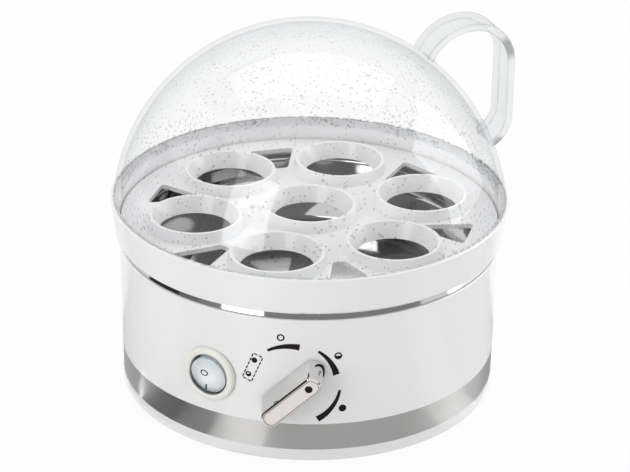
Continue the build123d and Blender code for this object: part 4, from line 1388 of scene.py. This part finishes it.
@dataclass
class RockerSwitch(SubAssembly):
    """Round rocker switch with its sealing bezel and printed legends."""

    tilt: float = 8.0
    off_place: Span = (-0.62 * MM, 2.27 * MM)
    off_radius: float = 1.74 * MM
    off_flatness: float = 0.75
    off_line: float = 0.52 * MM
    on_place: Span = (-0.75 * MM, -5.1 * MM)
    on_length: float = 3.7 * MM
    on_turn: float = 72.0
    on_line: float = 0.66 * MM
    cavity: float = 8.7 * MM
    # Painted highlight on the rocker: its place to the right, up and out from the pivot, and its
    # reach.
    painted_highlight_place: Tuple[float, float, float] = (0.9 * MM, -0.6 * MM, 5.8 * MM)
    painted_highlight_reach: float = 7.5 * MM
    film: Film = field(default_factory=Film)
    finishes: Dict[str, Finish] = field(
        default_factory=lambda: {
            "switch_body": SWITCH_CREAM,
            "switch_lamp": LAMP_GLASS,
            "switch_terminals": BRASS,
        }
    )

    def axes(self) -> Tuple[Vector, Vector, Vector]:
        """Ways at the switch.

        Returns:
            The ways to the right, up and out of the wall.
        """
        right = -Vector(joint("rocker_tilt")["axis"]).normalized()
        up = Vector((0, 0, 1))
        return right, up, right.cross(up)

    def dress(self) -> None:
        """Give the switch its finishes, with the painted shade of the recess and the rocker's
        painted highlight in place.
        """
        super().dress()
        middle = Vector(joint("rocker_tilt")["pos_m"])
        axes = self.axes()
        painted_highlight = sum((way * reach for way, reach in zip(axes, self.painted_highlight_place)), middle)
        # Painted shade in the recess of the bezel.
        cream = replace(
            BEZEL_CREAM, centre=tuple(middle), axis=tuple(axes[2]), recess=self.cavity
        )
        dress("switch_bezel", cream)
        # Painted highlight on the rocker's face, at its listed place.
        clear = replace(ROCKER_CLEAR, painted_highlight=tuple(painted_highlight), painted_highlight_reach=self.painted_highlight_reach)
        dress("switch_rocker", clear)

    def build(self) -> None:
        """Print the off ring and the on bar on the rocker."""
        right, upright, out = self.axes()
        lean = math.radians(self.tilt)
        up = upright * math.cos(lean) + out * math.sin(lean)
        middle = Vector(joint("rocker_tilt")["pos_m"])
        skin = Skin("switch_rocker")
        off, bar = self.film.start(), self.film.start()
        hollow = self.off_radius - self.off_line
        self.film.sweep(off, (0, 0), hollow, self.off_radius, 0.0, math.tau)
        bmesh.ops.scale(off, verts=off.verts, vec=(1, self.off_flatness, 1))
        bmesh.ops.translate(off, verts=off.verts, vec=(*self.off_place, 0))
        turn = math.radians(self.on_turn)
        self.film.bar(bar, self.on_place, self.on_length, self.on_line, turn)
        for name, mesh in (("rocker_sign_off", off), ("rocker_sign_on", bar)):
            self.film.lay_flat(mesh, skin, right, up, middle)
            set_down(mesh, name, PRINT_GREY, "rocker")


@dataclass
class HeatingUnit(SubAssembly):
    """Bowl, heat plate and what clamps and guards them."""

    finishes: Dict[str, Finish] = field(
        default_factory=lambda: {
            "heating_bowl": BOWL_STEEL,
            "bowl_seal": SILICONE,
            "heat_plate": CAST_ALUMINIUM,
            "heating_element": ELEMENT_STEEL,
            "element_beads": CERAMIC,
            "clamp_strap": STRAP_STEEL,
            "strap_screws": SCREW_STEEL,
            "clamp_nut": SCREW_STEEL,
            "thermostat": PHENOLIC,
            "thermal_fuse": FUSE_SLEEVE,
        }
    )


@dataclass
class ControlGear(SubAssembly):
    """Board, rotary control, wiring block and leads inside the base."""

    finishes: Dict[str, Finish] = field(
        default_factory=lambda: {
            "control_board": BOARD_GREEN,
            "board_screws": SCREW_STEEL,
            "relay": RELAY_BLUE,
            "buzzer": CONTROL_BLACK,
            "rotary_control": CONTROL_BLACK,
            "terminal_block": BLOCK_CREAM,
            "live_lead": WIRE_BROWN,
            "neutral_lead": WIRE_BLUE,
            "earth_lead": WIRE_EARTH,
            "sensor_leads": WIRE_WHITE,
        }
    )


@dataclass
class EggTray(SubAssembly):
    """Collar and egg plate that lift out together."""

    finishes: Dict[str, Finish] = field(
        default_factory=lambda: {"tray_collar": TRAY_WHITE, "egg_plate": TRAY_WHITE}
    )


@dataclass
class Lid(SubAssembly):
    """Clear dome with its loop handle."""

    radius: float = 82.198 * MM
    wall: float = 2.0 * MM
    dew_band: Span = (95 * MM, 150 * MM)
    handle_angle: float = 113.8
    handle_half: float = 8.25 * MM
    # Painted dark reflections on the handle's bends: centres and reaches.
    handle_dark_reflections: Tuple[Tuple[Colour, float], ...] = (
        ((80.0 * MM, 26.3 * MM, 141.2 * MM), 7.0 * MM),
        ((77.5 * MM, 25.2 * MM, 98.6 * MM), 4.0 * MM),
    )

    def dress(self) -> None:
        """Give the dome its dewed clear plastic, and the handle a dry one."""
        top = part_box("lid_dome")[1].z
        dewed = replace(
            LID_CLEAR,
            dew_inside=self.radius - self.wall / 2,
            dew_centre=top - self.radius,
            dew_low=self.dew_band[0],
            dew_high=self.dew_band[1],
        )
        dress("lid_dome", dewed)
        turn = math.radians(self.handle_angle)
        dry = replace(
            HANDLE_CLEAR,
            edge_way=(-math.cos(turn), -math.sin(turn), 0.0),
            edge_far=self.handle_half,
            painted_dark_reflections=self.handle_dark_reflections,
        )
        dress("lid_handle", dry)


# Studio


def bearing(azimuth: float) -> Vector:
    """Level way at an angle in degrees from the front, to the right."""
    turn = math.radians(azimuth)
    return Vector((math.sin(turn), -math.cos(turn), 0))


@dataclass
class SoftBox:
    """A square of soft light, placed round the cooker."""

    name: str
    azimuth: float
    elevation: float
    width: float
    height: float
    watts: float
    distance: float = 1.2
    mirrored: bool = True

    def build(self, aim: Vector) -> None:
        """Hang the lamp and turn it to the cooker.

        Args:
            aim: The point that it faces.
        """
        rise = math.radians(self.elevation)
        way = bearing(self.azimuth) * math.cos(rise) + Vector((0, 0, math.sin(rise)))
        data = bpy.data.lights.new(self.name, "AREA")
        data.shape = "RECTANGLE"
        data.size, data.size_y = self.width, self.height
        data.energy = self.watts
        lamp = bpy.data.objects.new(self.name, data)
        lamp.location = aim + way * self.distance
        lamp.rotation_euler = (-way).to_track_quat("-Z", "Y").to_euler()
        lamp.visible_glossy = self.mirrored
        bpy.context.scene.collection.objects.link(lamp)


class CardShape(Enum):
    """Section of a card: the reach and the height of its inner and its outer edge, in metres."""

    WALL = ((1.6, 0.0), (1.6, 0.6))
    HIGH_WALL = ((1.6, 0.6), (1.6, 1.7))
    NEAR_MAT = ((0.0795, 0.002), (0.25, 0.002))
    FAR_MAT = ((0.25, 0.002), (1.6, 0.002))
    SLAT = ((0.0245, 0.003), (0.046, 0.003))


@dataclass
class Flag:
    """Card bent round the cooker or laid on the floor, seen only by reflections."""

    name: str
    shape: CardShape
    azimuth: float
    turn: float
    tone: float
    centre: Span = (0.0, 0.0)
    steps: int = 24

    def build(self) -> None:
        """Stand the card up, seen only by reflections."""
        mesh = bmesh.new()
        way, centre = bearing(self.azimuth), Vector((*self.centre, 0))
        ends = [
            mesh.verts.new(centre + way * reach + Vector((0, 0, height)))
            for reach, height in self.shape.value
        ]
        edge = mesh.edges.new(ends)
        bmesh.ops.spin(
            mesh,
            geom=ends + [edge],
            cent=centre,
            axis=(0, 0, 1),
            angle=math.radians(self.turn),
            steps=self.steps,
        )
        felt = bpy.data.materials.new(self.name)
        felt.use_nodes = True
        nodes = Nodes(felt.node_tree)
        nodes.show(nodes.glow((self.tone,) * 3))
        card = stand(mesh, self.name, felt)
        card.visible_camera = False
        card.visible_diffuse = False
        card.visible_transmission = False
        card.visible_shadow = False


@dataclass
class Studio:
    """Floor, light and camera of the picture."""

    floor_half: float = 3.0
    floor_drop: float = 0.1 * MM
    floor_tone: float = 0.8
    floor_roughness: float = 0.9
    floor_glow: float = 0.93
    ambient: float = 0.60
    aim: Tuple[float, float, float] = (0.0, 0.0, 0.075)
    lens: float = 142.65
    sensor: float = 36.0
    clip: Span = (0.05, 20.0)
    stand_off: float = 944.33 * MM
    eye_height: float = 512.47 * MM
    azimuth: float = 3.8
    pitch: float = 25.434
    yaw: float = 0.148
    roll: float = -0.9366
    lamps: Tuple[SoftBox, ...] = (
        SoftBox("softbox_left", -33.0, 21.0, 0.53, 0.84, 4.9),
        SoftBox("softbox_right", 107.0, 16.0, 0.78, 1.0, 8.2),
        SoftBox("softbox_top", 184.0, 68.0, 1.5, 0.7, 4.6),
        SoftBox("softbox_fill", -105.0, 30.0, 0.8, 0.8, 1.1, mirrored=False),
    )
    flags: Tuple[Flag, ...] = (
        Flag("flag_front", CardShape.WALL, -60.0, 130.0, 0.33),
        Flag("flag_step", CardShape.WALL, -74.0, 14.0, 0.22),
        Flag("flag_left", CardShape.WALL, -112.0, 38.0, 0.04),
        Flag("flag_right", CardShape.WALL, 130.0, 40.0, 0.3),
        Flag("flag_knob", CardShape.HIGH_WALL, -84.0, 44.0, 0.04),
        Flag("mat_back_left", CardShape.NEAR_MAT, -110.0, 50.0, 0.55),
        Flag("mat_left", CardShape.NEAR_MAT, -60.0, 17.0, 0.2),
        Flag("mat_step", CardShape.NEAR_MAT, -43.0, 14.0, 0.4),
        Flag("mat_front", CardShape.NEAR_MAT, -10.0, 61.0, 0.62),
        Flag("mat_right", CardShape.NEAR_MAT, 71.0, 49.0, 0.48),
        Flag("mat_far_left", CardShape.FAR_MAT, -97.0, 40.0, 0.04),
        Flag("mat_far_right", CardShape.FAR_MAT, 80.0, 50.0, 1.5),
        Flag("mat_slat", CardShape.SLAT, -120.1, 2.6, 3.8, (-0.0497, -0.0513)),
    )

    def seen(self, nodes: Nodes) -> Value:
        """One for rays that show the background: from the camera, or by gloss or glass.

        Args:
            nodes: The node tree.

        Returns:
            The mask.
        """
        camera, gloss, glass = (
            nodes.add("LightPath", output=f"Is {kind} Ray")
            for kind in ("Camera", "Glossy", "Transmission")
        )
        return camera.most(gloss).most(glass)

    def floor(self) -> None:
        """Lay the floor, which glows white to the camera but keeps a shadow."""
        mesh = bmesh.new()
        lowered = Matrix.Translation((0, 0, -self.floor_drop))
        bmesh.ops.create_grid(
            mesh, x_segments=1, y_segments=1, size=self.floor_half, matrix=lowered
        )
        paper = bpy.data.materials.new("studio_paper")
        paper.use_nodes = True
        nodes = Nodes(paper.node_tree)
        plain = nodes.principled(
            {"Base Color": (self.floor_tone,) * 3, "Roughness": self.floor_roughness}
        )
        white = nodes.glow((1.0, 1.0, 1.0))
        nodes.show(nodes.mix(self.floor_glow * self.seen(nodes), plain, white))
        piece = stand(mesh, "studio_floor", paper)

    def sky(self) -> None:
        """Even light all round, white where it is seen."""
        world = bpy.data.worlds.new("studio_sky")
        world.use_nodes = True
        bpy.context.scene.world = world
        nodes = Nodes(world.node_tree)
        strength = self.ambient + (1.0 - self.ambient) * self.seen(nodes)
        white: Inputs = {"Color": (1.0, 1.0, 1.0), "Strength": strength}
        nodes.show(nodes.add("Background", inputs=white), "OutputWorld")

    def camera(self) -> None:
        """Stand the camera where the photograph was taken."""
        pitch, yaw, roll = (math.radians(angle) for angle in (self.pitch, self.yaw, self.roll))
        level = Vector((math.sin(yaw), math.cos(yaw), 0))
        flat_right = Vector((math.cos(yaw), -math.sin(yaw), 0))
        upright = Vector((0, 0, 1))
        ahead = level * math.cos(pitch) - upright * math.sin(pitch)
        flat_up = level * math.sin(pitch) + upright * math.cos(pitch)
        right = flat_right * math.cos(roll) - flat_up * math.sin(roll)
        up = flat_right * math.sin(roll) + flat_up * math.cos(roll)
        turned = Matrix((right, up, -ahead)).transposed().to_4x4()
        placed = Matrix.Translation((0, -self.stand_off, self.eye_height)) @ turned
        data = bpy.data.cameras.new("camera")
        data.lens = self.lens
        data.sensor_width = self.sensor
        data.clip_start, data.clip_end = self.clip
        eye = bpy.data.objects.new("camera", data)
        eye.matrix_world = Matrix.Rotation(math.radians(self.azimuth), 4, "Z") @ placed
        bpy.context.scene.collection.objects.link(eye)
        bpy.context.scene.camera = eye

    def build(self) -> None:
        """Set up the floor, the light and the camera."""
        bpy.context.scene.view_settings.view_transform = "Standard"
        self.floor()
        self.sky()
        for lamp in self.lamps:
            lamp.build(Vector(self.aim))
        for flag in self.flags:
            flag.build()
        self.camera()


def main() -> None:
    """Dress the cooker, add its own pieces and set up the studio."""
    logging.basicConfig(level=logging.INFO, format="%(name)s: %(message)s")
    parts: Tuple[SubAssembly, ...] = (
        BaseShell(),
        DialPrint(),
        ControlKnob(),
        RockerSwitch(),
        HeatingUnit(),
        ControlGear(),
        EggTray(),
        Lid(),
    )
    for part in parts:
        part.dress()
        part.build()
    Studio().build()


if __name__ == "__main__":
    main()
